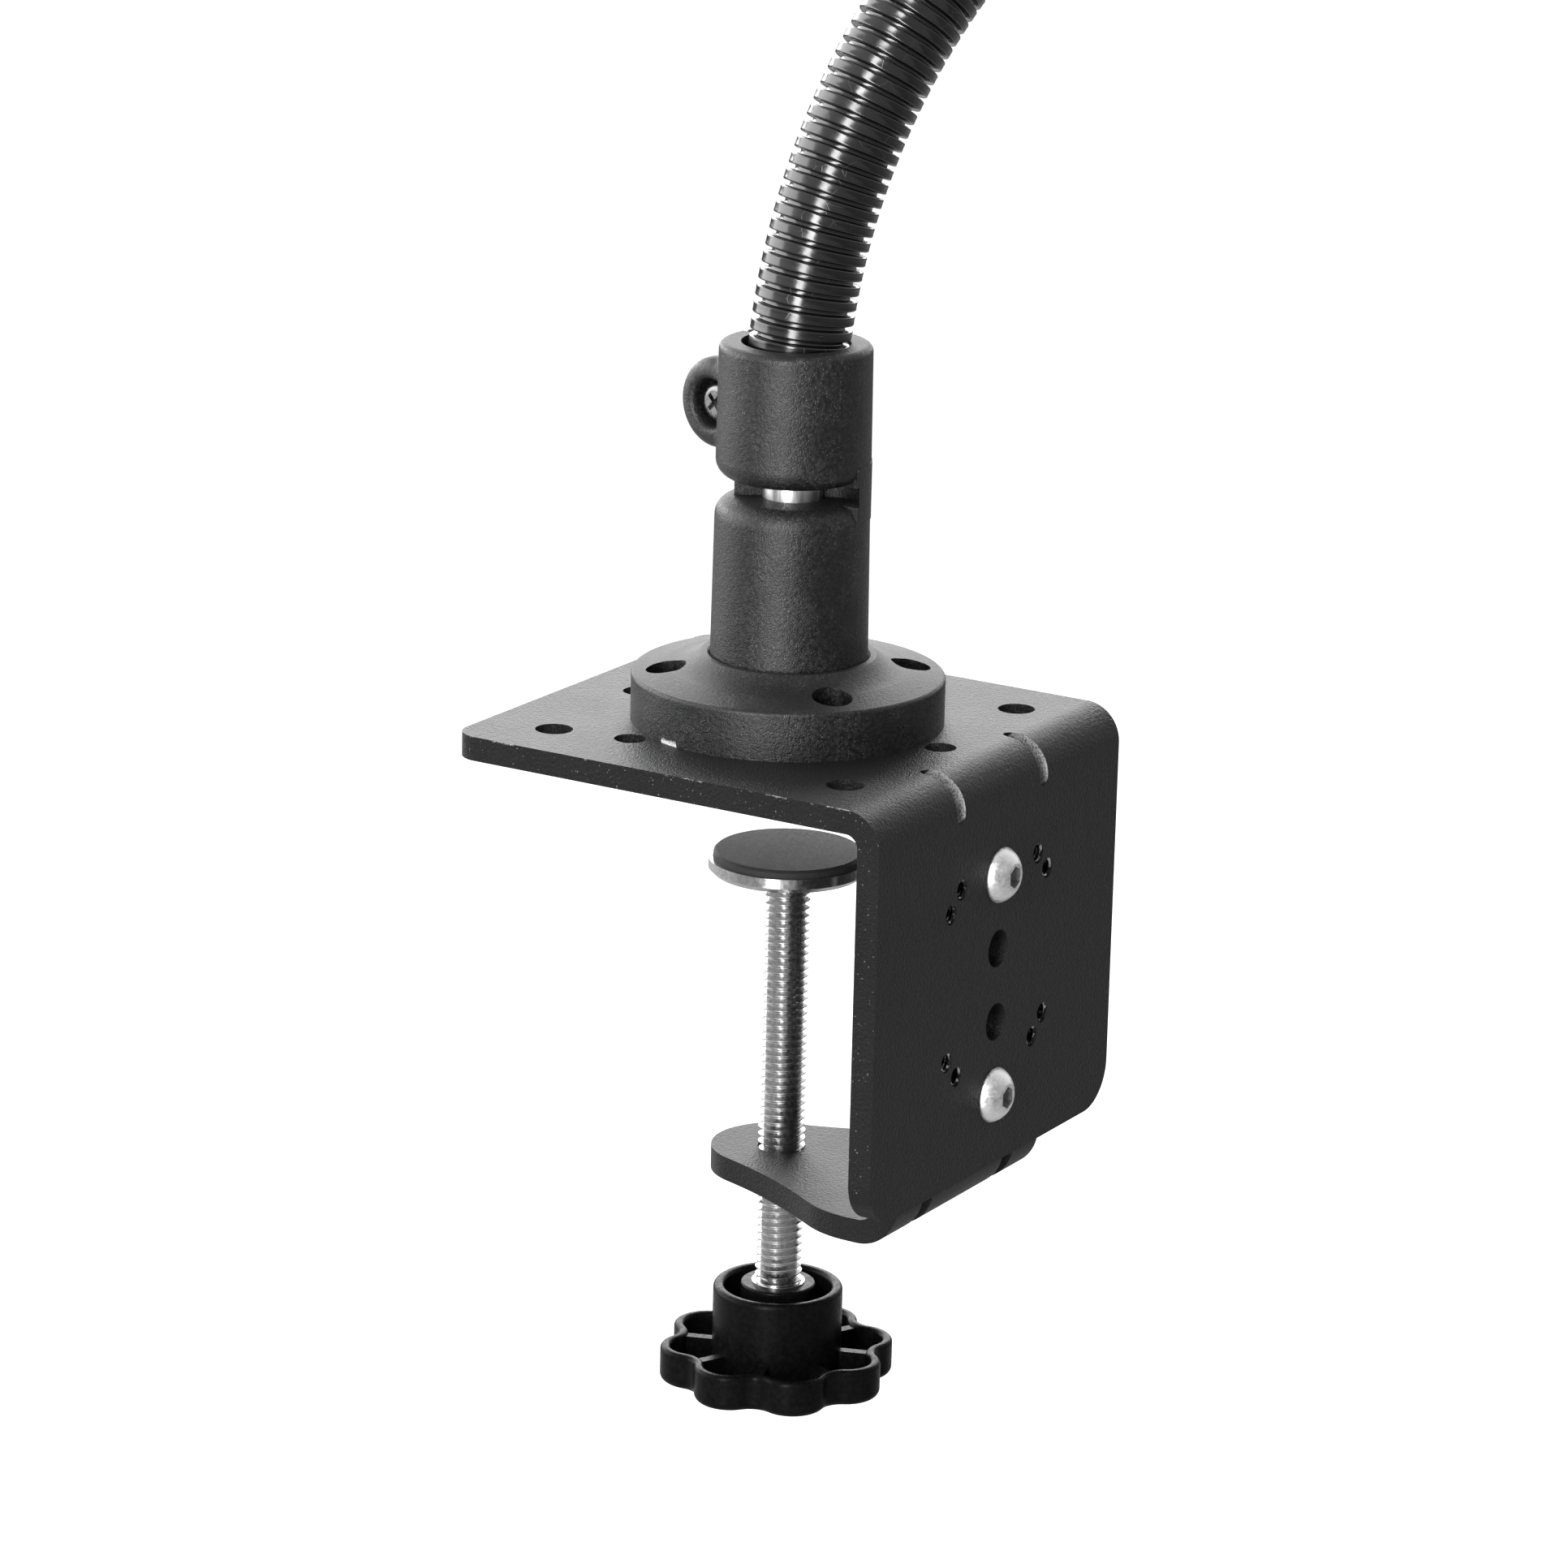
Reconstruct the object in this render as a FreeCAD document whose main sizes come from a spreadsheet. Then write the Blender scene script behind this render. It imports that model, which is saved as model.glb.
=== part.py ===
import FreeCAD, Part
import math
import os
import Sketcher

# Desk clamp mount for a tablet: a bent steel clamp that carries a split collar and a corrugated arm.
# Millimetres. X runs along the desk edge, +Y into the desk and +Z up. The origin is the centre of the
# square of corner holes, on the underside of the top plate, which is the face that meets the desk top.

doc = FreeCAD.newDocument("TabletClampMount")
sheet = doc.addObject("Spreadsheet::Sheet", "Sizes")
numbers = {}
subParts = []
volumes = {}


def enterSizes(table):
    for alias, number in table.items():
        row = len(numbers) + 1
        sheet.set("A%d" % row, alias)
        sheet.set("B%d" % row, str(number))
        sheet.setAlias("B%d" % row, alias)
        numbers[alias] = number


# A size is a number together with the expression that works it out from the sheet.
class Size:
    def __init__(self, value, text):
        self.value = value
        self.text = text

    def __add__(self, other):
        other = asSize(other)
        return Size(self.value + other.value, "(%s + %s)" % (self.text, other.text))

    def __sub__(self, other):
        other = asSize(other)
        return Size(self.value - other.value, "(%s - %s)" % (self.text, other.text))

    def __mul__(self, other):
        other = asSize(other)
        return Size(self.value * other.value, "(%s * %s)" % (self.text, other.text))

    def __truediv__(self, other):
        other = asSize(other)
        return Size(self.value / other.value, "(%s / %s)" % (self.text, other.text))

    def __neg__(self):
        return Size(-self.value, "(0 - %s)" % self.text)


def asSize(thing):
    if isinstance(thing, Size):
        return thing
    return Size(float(thing), repr(float(thing)))


def root(length):
    return Size(math.sqrt(length.value), "sqrt(%s)" % length.text)


def sine(degrees):
    degrees = asSize(degrees)
    return Size(math.sin(math.radians(degrees.value)), "sin(%s)" % degrees.text)


def cosine(degrees):
    degrees = asSize(degrees)
    return Size(math.cos(math.radians(degrees.value)), "cos(%s)" % degrees.text)


def arcSine(ratio):
    return Size(math.degrees(math.asin(ratio.value)), "(asin(%s) / 1 deg)" % ratio.text)


def degreesAlong(length, radius):
    return length / radius * (halfTurn / math.pi)


class SizeBook:
    def __getattr__(self, alias):
        return Size(numbers[alias], "Sizes." + alias)


size = SizeBook()

xAxis = FreeCAD.Vector(1, 0, 0)
yAxis = FreeCAD.Vector(0, 1, 0)
zAxis = FreeCAD.Vector(0, 0, 1)
fullTurn = 360
halfTurn = 180
square = 90
halfSquare = 45
hexagonCorners = 6
sides = (-1, 1)
horizontalLine = -1
verticalLine = -2
tiniestCut = 0.001
tolerance = 0.001
boxMargin = 5


def newBody(label):
    body = doc.addObject("PartDesign::Body", "".join(word.title() for word in label.split("_")))
    body.Label = label
    subParts.append(body)
    return body


def placeBody(body, x=0, y=0, z=0, turnAxis=None, turn=None):
    if turnAxis:
        body.Placement = FreeCAD.Placement(FreeCAD.Vector(), FreeCAD.Rotation(turnAxis, asSize(turn).value))
        body.setExpression("Placement.Rotation.Angle", asSize(turn).text)
    for letter, distance in (("x", x), ("y", y), ("z", z)):
        body.setExpression("Placement.Base." + letter, asSize(distance).text)


# A sketch on one of the body's own origin planes, shifted and turned in the sketch's own axes.
def newSketch(body, name, plane, shift=(0, 0, 0), turnAxis=None, turn=None):
    sketch = body.newObject("Sketcher::SketchObject", name)
    origin = [datum for datum in body.Origin.OriginFeatures if datum.Role == plane]
    sketch.AttachmentSupport = [(origin[0], "")]
    sketch.MapMode = "FlatFace"
    if turnAxis:
        turned = FreeCAD.Rotation(turnAxis, asSize(turn).value)
        sketch.AttachmentOffset = FreeCAD.Placement(FreeCAD.Vector(), turned)
        sketch.setExpression("AttachmentOffset.Rotation.Angle", asSize(turn).text)
    for letter, distance in zip("xyz", shift):
        sketch.setExpression("AttachmentOffset.Base." + letter, asSize(distance).text)
    return sketch


def dimension(sketch, constraint, length):
    index = sketch.addConstraint(constraint)
    sketch.setExpression("Constraints[%d]" % index, length.text)


def pinPoint(sketch, geometry, point, x, y):
    if isinstance(x, Size):
        dimension(sketch, Sketcher.Constraint("DistanceX", -1, 1, geometry, point, x.value), x)
    else:
        sketch.addConstraint(Sketcher.Constraint("PointOnObject", geometry, point, verticalLine))
    if isinstance(y, Size):
        dimension(sketch, Sketcher.Constraint("DistanceY", -1, 1, geometry, point, y.value), y)
    else:
        sketch.addConstraint(Sketcher.Constraint("PointOnObject", geometry, point, horizontalLine))


def flatPoint(corner):
    return FreeCAD.Vector(asSize(corner[0]).value, asSize(corner[1]).value, 0)


# The arc from one point to the next with its centre on the left or on the right of the way between.
def arcBetween(first, last, radius, side):
    chord = last - first
    middle = (first + last) / 2
    across = FreeCAD.Vector(-chord.y, chord.x, 0) / chord.Length
    if side == "right":
        across = -across
    rise = math.sqrt(max(radius ** 2 - (chord.Length / 2) ** 2, 0))
    centre = middle + across * rise
    start, end = (first, last) if side == "left" else (last, first)
    startAngle = math.atan2(start.y - centre.y, start.x - centre.x)
    endAngle = math.atan2(end.y - centre.y, end.x - centre.x)
    return Part.ArcOfCircle(Part.Circle(centre, FreeCAD.Vector(0, 0, 1), radius), startAngle, endAngle)


# A closed outline. Each corner is (x, y) before a straight side or (x, y, side, radius) before an arc.
def drawOutline(sketch, corners):
    ends = []
    for index, corner in enumerate(corners):
        first = flatPoint(corner)
        last = flatPoint(corners[(index + 1) % len(corners)])
        if len(corner) == 2:
            geometry = sketch.addGeometry(Part.LineSegment(first, last))
            ends.append((geometry, 1, 2))
        else:
            geometry = sketch.addGeometry(arcBetween(first, last, corner[3].value, corner[2]))
            ends.append((geometry, 1, 2) if corner[2] == "left" else (geometry, 2, 1))
    for index, (geometry, start, end) in enumerate(ends):
        following = ends[(index + 1) % len(ends)]
        sketch.addConstraint(Sketcher.Constraint("Coincident", geometry, end, following[0], following[1]))
    for (geometry, start, end), corner in zip(ends, corners):
        pinPoint(sketch, geometry, start, corner[0], corner[1])
        if len(corner) == 4:
            dimension(sketch, Sketcher.Constraint("Radius", geometry, corner[3].value), corner[3])


def drawCircle(sketch, x, y, radius):
    centre = flatPoint((x, y))
    geometry = sketch.addGeometry(Part.Circle(centre, FreeCAD.Vector(0, 0, 1), radius.value))
    pinPoint(sketch, geometry, 3, x, y)
    dimension(sketch, Sketcher.Constraint("Radius", geometry, radius.value), radius)


def drawBox(sketch, left, right, bottom, top):
    drawOutline(sketch, [(left, bottom), (right, bottom), (right, top), (left, top)])


# A slit with round ends that stands upright in the sketch.
def drawSlit(sketch, x, y, halfLength, halfWidth):
    straight = halfLength - halfWidth
    drawOutline(sketch, [
        (x + halfWidth, y - straight),
        (x + halfWidth, y + straight, "left", halfWidth),
        (x, y + halfLength, "left", halfWidth),
        (x - halfWidth, y + straight),
        (x - halfWidth, y - straight, "left", halfWidth),
        (x, y - halfLength, "left", halfWidth),
    ])


# An upright line beside the outline that a revolved feature turns about.
def drawAxis(sketch, x, length):
    geometry = sketch.addGeometry(Part.LineSegment(flatPoint((x, 0)), flatPoint((x, length))), True)
    pinPoint(sketch, geometry, 1, x, 0)
    pinPoint(sketch, geometry, 2, x, length)


def drawHexagon(sketch, acrossFlats):
    radius = acrossFlats / math.sqrt(3)
    corners = []
    step = fullTurn / hexagonCorners
    for index in range(hexagonCorners):
        azimuth = step * index + step / 2
        corners.append((radius * cosine(azimuth), radius * sine(azimuth)))
    drawOutline(sketch, corners)


# Each step has to change the body's volume the right way, so a cut that misses the solid is caught.
def finishFeature(body, feature, removes):
    before = volumes.get(body.Name, 0)
    body.Tip = feature
    doc.recompute()
    after = feature.Shape.Volume
    volumes[body.Name] = after
    if removes and after > before - tiniestCut:
        raise RuntimeError("%s cuts nothing" % feature.Name)
    if not removes and after < before + tiniestCut:
        raise RuntimeError("%s adds nothing" % feature.Name)
    return feature


# A pad or pocket: the whole way where no length is given, both ways from the sketch where it is even.
def extrude(body, kind, name, sketch, length=None, backwards=False, even=False, taper=None):
    feature = body.newObject("PartDesign::" + kind, name)
    feature.Profile = sketch
    feature.Reversed = backwards
    if length is None:
        feature.Type = "ThroughAll"
    else:
        feature.setExpression("Length", asSize(length).text)
    if even:
        feature.SideType = "Symmetric"
    if taper is not None:
        feature.setExpression("TaperAngle", taper.text)
    return finishFeature(body, feature, kind == "Pocket")


def revolve(body, kind, name, sketch, axis="V_Axis", angle=fullTurn, backwards=False):
    feature = body.newObject("PartDesign::" + kind, name)
    feature.Profile = sketch
    feature.ReferenceAxis = (sketch, [axis])
    feature.Reversed = backwards
    feature.setExpression("Angle", asSize(angle).text)
    return finishFeature(body, feature, kind == "Groove")


# Copies of a feature round an axis, a full turn or one step of the given angle after another.
def repeatRound(body, name, original, axis, count, removes, step=None, backwards=False):
    pattern = body.newObject("PartDesign::PolarPattern", name)
    pattern.Reversed = backwards
    pattern.Originals = [original]
    pattern.Axis = axis
    pattern.Occurrences = count
    if step is None:
        pattern.Angle = fullTurn
    else:
        pattern.Mode = "Spacing"
        pattern.setExpression("Offset", step.text)
    return finishFeature(body, pattern, removes)


def roundEdges(body, name, radius, isWanted, removes=True):
    base = body.Tip
    wanted = ["Edge%d" % (index + 1) for index, edge in enumerate(base.Shape.Edges) if isWanted(edge)]
    feature = body.newObject("PartDesign::Fillet", name)
    feature.Base = (base, wanted)
    feature.setExpression("Radius", radius.text)
    return finishFeature(body, feature, removes)


def runsAlong(edge, direction):
    if not isinstance(edge.Curve, Part.Line):
        return False
    return abs(edge.Curve.Direction.dot(direction)) > 1 - tolerance


def isAt(number, target):
    return abs(number - target.value) < tolerance


# Bent plates. Both are bent from the same sheet, and the lower one slides up and down inside the
# upper one: two bolts pass through the upper leg's column of holes into the lower leg's threads.
plateSizes = {
    "plateThickness": 4.87,
    "plateWidth": 94.8,
    "plateFront": 49.42,
    "plateBack": 48.24,
    "legDrop": 78.64,
    "bendRadius": 2.63,
    "plateCorner": 5.5,
    "legCorner": 9.0,
    "squareSpacing": 66.7,
    "squareHoleRadius": 3.75,
    "ringRadius": 35.0,
    "ringHoleRadius": 3.2,
    "firstRingHole": 30.0,
    "ringHoleStep": 60.0,
    "mountShort": 30.17,
    "mountLong": 38.1,
    "smallTapRadius": 2.05,
    "legMountDrop": 37.0,
    "columnDrop": 18.55,
    "columnPitch": 15.15,
    "columnHoleRadius": 3.8,
    "slitSpacing": 32.6,
    "slitWidth": 3.4,
    "slitReach": 9.3,
}
enterSizes(plateSizes)
columnCount = 4
ringHolePlaces = (0, 1, 2, 4)

outerFace = -size.plateFront
innerFace = outerFace + size.plateThickness
outerBend = size.bendRadius + size.plateThickness


def columnHeight(index):
    return -(size.columnDrop + size.columnPitch * index)


# The bend's slits run out along the line that halves the bend's right angle, up or down.
def cutSlits(body, corner, reach, width, spacing, isUpper):
    turn = -halfSquare if isUpper else halfSquare
    sketch = newSketch(body, "SlitSketch", "XZ_Plane", turnAxis=xAxis, turn=turn)
    face, level = corner
    middle = (level + face if isUpper else level - face) / math.sqrt(2)
    for side in sides:
        drawSlit(sketch, spacing / 2 * side, middle, reach / math.sqrt(2), width / 2)
    extrude(body, "Pocket", "Slits", sketch, backwards=True)


def makeTopBracket():
    body = newBody("top_bracket")
    placeBody(body)
    thickness = size.plateThickness
    profile = newSketch(body, "ProfileSketch", "YZ_Plane")
    drawOutline(profile, [
        (size.plateBack, 0),
        (size.plateBack, thickness),
        (outerFace + outerBend, thickness, "left", outerBend),
        (outerFace, thickness - outerBend),
        (outerFace, -size.legDrop),
        (innerFace, -size.legDrop),
        (innerFace, -size.bendRadius, "right", size.bendRadius),
        (innerFace + size.bendRadius, 0),
    ])
    extrude(body, "Pad", "BentPlate", profile, size.plateWidth, even=True)

    def isPlateCorner(edge):
        return runsAlong(edge, zAxis) and isAt(edge.CenterOfMass.y, size.plateBack)

    def isLegCorner(edge):
        return runsAlong(edge, yAxis) and isAt(edge.CenterOfMass.z, -size.legDrop)

    roundEdges(body, "PlateCorners", size.plateCorner, isPlateCorner)
    roundEdges(body, "LegCorners", size.legCorner, isLegCorner)

    plateHoles = newSketch(body, "PlateHoleSketch", "XY_Plane")
    for acrossSide in sides:
        for alongSide in sides:
            half = size.squareSpacing / 2
            drawCircle(plateHoles, half * acrossSide, half * alongSide, size.squareHoleRadius)
            screwX, screwY = size.mountShort / 2 * acrossSide, size.mountLong / 2 * alongSide
            drawCircle(plateHoles, screwX, screwY, size.flangeScrewRadius + size.threadClearance)
    for place in ringHolePlaces:
        azimuth = size.firstRingHole + size.ringHoleStep * place
        x = size.ringRadius * cosine(azimuth)
        y = size.ringRadius * sine(azimuth)
        drawCircle(plateHoles, x, y, size.ringHoleRadius)
    extrude(body, "Pocket", "PlateHoles", plateHoles, backwards=True)

    legHoles = newSketch(body, "LegHoleSketch", "XZ_Plane")
    for index in range(columnCount):
        drawCircle(legHoles, 0, columnHeight(index), size.columnHoleRadius)
    for acrossSide in sides:
        for upSide in sides:
            for across, up in ((size.mountShort, size.mountLong), (size.mountLong, size.mountShort)):
                height = up / 2 * upSide - size.legMountDrop
                drawCircle(legHoles, across / 2 * acrossSide, height, size.smallTapRadius)
    extrude(body, "Pocket", "LegHoles", legHoles, backwards=True)
    cutSlits(body, (outerFace, thickness), size.slitReach, size.slitWidth, size.slitSpacing, True)


footSizes = {
    "footWidth": 56.4,
    "footLegTop": 10.0,
    "footCorner": 6.0,
    "footBendRadius": 4.13,
    "tongueDrop": 84.63,
    "tongueShoulder": 11.55,
    "tongueTipRadius": 13.2,
    "tongueTipLead": 1.2,
    "tongueWaistRadius": 108.0,
    "tongueFlareRadius": 19.4,
    "footSlitSpacing": 32.0,
    "footSlitWidth": 4.0,
    "footSlitReach": 11.5,
    "footTapRadius": 3.25,
    "screwSetback": 1.0,
}
enterSizes(footSizes)

footFace = innerFace
footInside = footFace + size.plateThickness
footUnderside = -(size.tongueDrop + size.plateThickness)
screwLine = -size.screwSetback


# The tongue narrows in three tangent arcs on each side: a flare, a long hollow waist and the round tip.
def cutTongue(body):
    sketch = newSketch(body, "TongueSketch", "XY_Plane", shift=(0, 0, footUnderside))
    halfWidth = size.footWidth / 2
    shoulder = footFace + size.tongueShoulder
    tipCentre = screwLine + size.tongueTipLead
    flareCentre = halfWidth - size.tongueFlareRadius
    toTip = size.tongueTipRadius + size.tongueWaistRadius
    toFlare = size.tongueFlareRadius + size.tongueWaistRadius
    fall = shoulder - tipCentre
    between = root(flareCentre * flareCentre + fall * fall)
    along = (toTip * toTip - toFlare * toFlare + between * between) / (between * 2)
    out = root(toTip * toTip - along * along)
    waistX = (flareCentre * along - fall * out) / between
    waistY = tipCentre + (fall * along + flareCentre * out) / between
    tipX = waistX * size.tongueTipRadius / toTip
    tipY = tipCentre + (waistY - tipCentre) * size.tongueTipRadius / toTip
    flareX = flareCentre + (waistX - flareCentre) * size.tongueFlareRadius / toFlare
    flareY = shoulder + (waistY - shoulder) * size.tongueFlareRadius / toFlare
    top = tipCentre + size.tongueTipRadius
    beyond = top + boxMargin
    outside = halfWidth + boxMargin
    drawOutline(sketch, [
        (halfWidth, shoulder, "left", size.tongueFlareRadius),
        (flareX, flareY, "right", size.tongueWaistRadius),
        (tipX, tipY, "left", size.tongueTipRadius),
        (0, top, "left", size.tongueTipRadius),
        (-tipX, tipY, "right", size.tongueWaistRadius),
        (-flareX, flareY, "left", size.tongueFlareRadius),
        (-halfWidth, shoulder),
        (-outside, shoulder),
        (-outside, beyond),
        (outside, beyond),
        (outside, shoulder),
    ])
    extrude(body, "Pocket", "TongueOutline", sketch, size.plateThickness, backwards=True)


def makeFootBracket():
    body = newBody("foot_bracket")
    placeBody(body)
    bend = size.footBendRadius + size.plateThickness
    tip = screwLine + size.tongueTipLead + size.tongueTipRadius
    profile = newSketch(body, "ProfileSketch", "YZ_Plane")
    drawOutline(profile, [
        (footFace, -size.footLegTop),
        (footFace, footUnderside + bend, "left", bend),
        (footFace + bend, footUnderside),
        (tip, footUnderside),
        (tip, -size.tongueDrop),
        (footInside + size.footBendRadius, -size.tongueDrop, "right", size.footBendRadius),
        (footInside, size.footBendRadius - size.tongueDrop),
        (footInside, -size.footLegTop),
    ])
    extrude(body, "Pad", "BentPlate", profile, size.footWidth, even=True)

    def isTopCorner(edge):
        return runsAlong(edge, yAxis) and isAt(edge.CenterOfMass.z, -size.footLegTop)

    roundEdges(body, "TopCorners", size.footCorner, isTopCorner)
    cutTongue(body)
    legHoles = newSketch(body, "LegHoleSketch", "XZ_Plane")
    for index in range(columnCount):
        drawCircle(legHoles, 0, columnHeight(index), size.footTapRadius)
    extrude(body, "Pocket", "LegHoles", legHoles, backwards=True)
    screwHole = newSketch(body, "ScrewHoleSketch", "XY_Plane", shift=(0, 0, footUnderside))
    drawCircle(screwHole, 0, screwLine, size.screwRadius + size.screwClearance)
    extrude(body, "Pocket", "ScrewHole", screwHole, size.plateThickness, backwards=True)
    corner = (footFace, footUnderside)
    cutSlits(body, corner, size.footSlitReach, size.footSlitWidth, size.footSlitSpacing, False)


# Button-head bolts that hold the two bent plates together, at the top and bottom of the column.
boltSizes = {
    "boltHeadRadius": 5.56,
    "boltHeadHeight": 3.35,
    "boltTopRadius": 2.75,
    "boltDomeRadius": 5.2,
    "boltEdge": 0.4,
    "boltSocket": 3.97,
    "boltSocketDepth": 2.1,
    "boltShankRadius": 3.175,
    "boltEndInset": 0.2,
}
enterSizes(boltSizes)


def makeBolt(label, index):
    body = newBody(label)
    placeBody(body, 0, outerFace, columnHeight(index), xAxis, square)
    length = size.plateThickness * 2 - size.boltEndInset
    profile = newSketch(body, "ProfileSketch", "XZ_Plane")
    drawOutline(profile, [
        (0, -length),
        (size.boltShankRadius, -length),
        (size.boltShankRadius, 0),
        (size.boltHeadRadius, 0),
        (size.boltHeadRadius, size.boltEdge, "left", size.boltDomeRadius),
        (size.boltTopRadius, size.boltHeadHeight),
        (0, size.boltHeadHeight),
    ])
    revolve(body, "Revolution", "Bolt", profile)
    socket = newSketch(body, "SocketSketch", "XY_Plane", shift=(0, 0, size.boltHeadHeight))
    drawHexagon(socket, size.boltSocket)
    extrude(body, "Pocket", "Socket", socket, size.boltSocketDepth)


# Moulded round base, screwed down to the top plate by four screws in tapered wells. Its lip takes
# the foot of the post, which a screw and washer hold from below through the web.
flangeSizes = {
    "flangeRadius": 31.15,
    "flangeEdge": 9.85,
    "flangeEdgeRound": 0.8,
    "flangeConeRadius": 24.3,
    "flangeConeHeight": 11.03,
    "flangeSweepRadius": 12.0,
    "lipRadius": 17.4,
    "lipHeight": 13.73,
    "lipEdge": 0.45,
    "socketClearance": 0.1,
    "socketFloor": 9.23,
    "recessRadius": 9.2,
    "recessDepth": 4.73,
    "socketScrewHole": 3.3,
    "wellRadius": 4.9,
    "wellTaper": 7.0,
    "wellFloor": 3.53,
    "wellHoleRadius": 2.6,
}
enterSizes(flangeSizes)

flangeBase = size.plateThickness
postFoot = flangeBase + size.socketFloor


def wellCentres():
    for acrossSide in sides:
        for alongSide in sides:
            yield size.mountShort / 2 * acrossSide, size.mountLong / 2 * alongSide


def makeBaseFlange():
    body = newBody("base_flange")
    placeBody(body, 0, 0, flangeBase)
    edge = size.flangeEdgeRound
    bore = size.postFootRadius + size.socketClearance
    profile = newSketch(body, "ProfileSketch", "XZ_Plane")
    drawOutline(profile, [
        (size.socketScrewHole, size.recessDepth),
        (size.recessRadius, size.recessDepth),
        (size.recessRadius, 0),
        (size.flangeRadius, 0),
        (size.flangeRadius, size.flangeEdge - edge, "left", edge),
        (size.flangeRadius - edge, size.flangeEdge),
        (size.flangeConeRadius, size.flangeConeHeight, "right", size.flangeSweepRadius),
        (size.lipRadius, size.lipHeight),
        (bore + size.lipEdge, size.lipHeight),
        (bore, size.lipHeight - size.lipEdge),
        (bore, size.socketFloor),
        (size.socketScrewHole, size.socketFloor),
    ])
    revolve(body, "Revolution", "Disc", profile)
    wells = newSketch(body, "WellSketch", "XY_Plane", shift=(0, 0, size.wellFloor))
    for x, y in wellCentres():
        drawCircle(wells, x, y, size.wellRadius)
    depth = size.lipHeight - size.wellFloor
    extrude(body, "Pocket", "Wells", wells, depth, backwards=True, taper=-size.wellTaper)
    holes = newSketch(body, "HoleSketch", "XY_Plane")
    for x, y in wellCentres():
        drawCircle(holes, x, y, size.wellHoleRadius)
    extrude(body, "Pocket", "Holes", holes, size.wellFloor, backwards=True)


# Pan-head screw with a cross recess: local Z runs out of the head, with the seat at zero.
def buildPanScrew(body, headRadius, headHeight, headEdge, shankRadius, length):
    dome = headHeight - headEdge
    profile = newSketch(body, "ProfileSketch", "XZ_Plane")
    drawOutline(profile, [
        (0, -length),
        (shankRadius, -length),
        (shankRadius, 0),
        (headRadius, 0),
        (headRadius, headEdge, "left", dome),
        (headRadius - dome, headHeight),
        (0, headHeight),
    ])
    revolve(body, "Revolution", "Screw", profile)
    recess = newSketch(body, "RecessSketch", "XY_Plane", shift=(0, 0, headHeight))
    reach = headRadius * size.recessReach
    half = headRadius * size.recessArm
    drawOutline(recess, [
        (half, half), (half, reach), (-half, reach), (-half, half),
        (-reach, half), (-reach, -half), (-half, -half), (-half, -reach),
        (half, -reach), (half, -half), (reach, -half), (reach, half),
    ])
    extrude(body, "Pocket", "Recess", recess, headHeight * size.recessShare)


panScrewSizes = {
    "recessReach": 0.52,
    "recessArm": 0.12,
    "recessShare": 0.6,
    "threadClearance": 0.05,
    "flangeScrewHead": 4.6,
    "flangeScrewHeight": 2.9,
    "flangeScrewEdge": 1.1,
    "flangeScrewRadius": 2.41,
    "flangeScrewInset": 0.4,
    "socketHeadRadius": 5.5,
    "socketHeadHeight": 3.2,
    "socketHeadEdge": 1.4,
    "socketScrewRadius": 2.95,
    "socketScrewReach": 11.9,
    "socketWasherRadius": 8.5,
    "socketWasherThickness": 1.2,
}
enterSizes(panScrewSizes)


def makeFlangeScrews():
    for index, (x, y) in enumerate(wellCentres(), start=1):
        body = newBody("flange_screw_%d" % index)
        placeBody(body, x, y, flangeBase + size.wellFloor)
        length = size.wellFloor + size.plateThickness - size.flangeScrewInset
        buildPanScrew(body, size.flangeScrewHead, size.flangeScrewHeight, size.flangeScrewEdge,
                      size.flangeScrewRadius, length)


def makeSocketScrew():
    body = newBody("socket_screw")
    seat = postFoot - (size.socketFloor - size.recessDepth) - size.socketWasherThickness
    placeBody(body, 0, 0, seat, xAxis, halfTurn)
    length = postFoot - seat + size.socketScrewReach
    buildPanScrew(body, size.socketHeadRadius, size.socketHeadHeight, size.socketHeadEdge,
                  size.socketScrewRadius, length)


def makeWasher(label, radius, bore, thickness, x, y, z):
    body = newBody(label)
    placeBody(body, x, y, z)
    ring = newSketch(body, "RingSketch", "XY_Plane")
    drawCircle(ring, 0, 0, radius)
    drawCircle(ring, 0, 0, bore)
    extrude(body, "Pad", "Ring", ring, thickness)


def makeSocketWasher():
    z = flangeBase + size.recessDepth - size.socketWasherThickness
    bore = size.socketScrewHole
    makeWasher("socket_washer", size.socketWasherRadius, bore, size.socketWasherThickness, 0, 0, z)


# Post and split collar, one moulding. A level slot and an upright split free the collar on three
# sides of the rod, so that the pinch screw through its ear can close it. The back of the slot is
# bridged by a full-width wall, which is the collar's hinge.
socketSizes = {
    "socketAzimuth": -59.0,
    "postFootRadius": 15.65,
    "postTopRadius": 15.3,
    "postHeight": 36.2,
    "shoulderRadius": 3.8,
    "slotHeight": 3.9,
    "collarHeight": 27.0,
    "collarTopRadius": 15.1,
    "collarEdge": 1.5,
    "hingeRadius": 15.45,
    "hingeOverlap": 0.8,
    "hingeStart": -35.0,
    "hingeEnd": 80.0,
    "windowReach": 13.0,
    "windowCorner": 6.0,
    "rodClearance": 0.08,
    "rodSeat": 12.9,
    "rodSeatGap": 0.1,
    "boreRelief": 0.6,
    "counterboreRadius": 10.8,
    "counterboreDepth": 3.3,
    "splitWidth": 2.0,
    "earAzimuth": 135.0,
    "earReach": 16.6,
    "earDrop": 14.3,
    "earRadius": 9.1,
    "earHalfWidth": 7.3,
    "earEdge": 2.8,
    "earRoot": 3.0,
    "pinchSeat": 3.2,
    "pinchWellRadius": 4.8,
    "pinchMouth": 1.2,
    "pinchHoleRadius": 2.3,
    "nutClearance": 0.15,
}
enterSizes(socketSizes)

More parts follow.
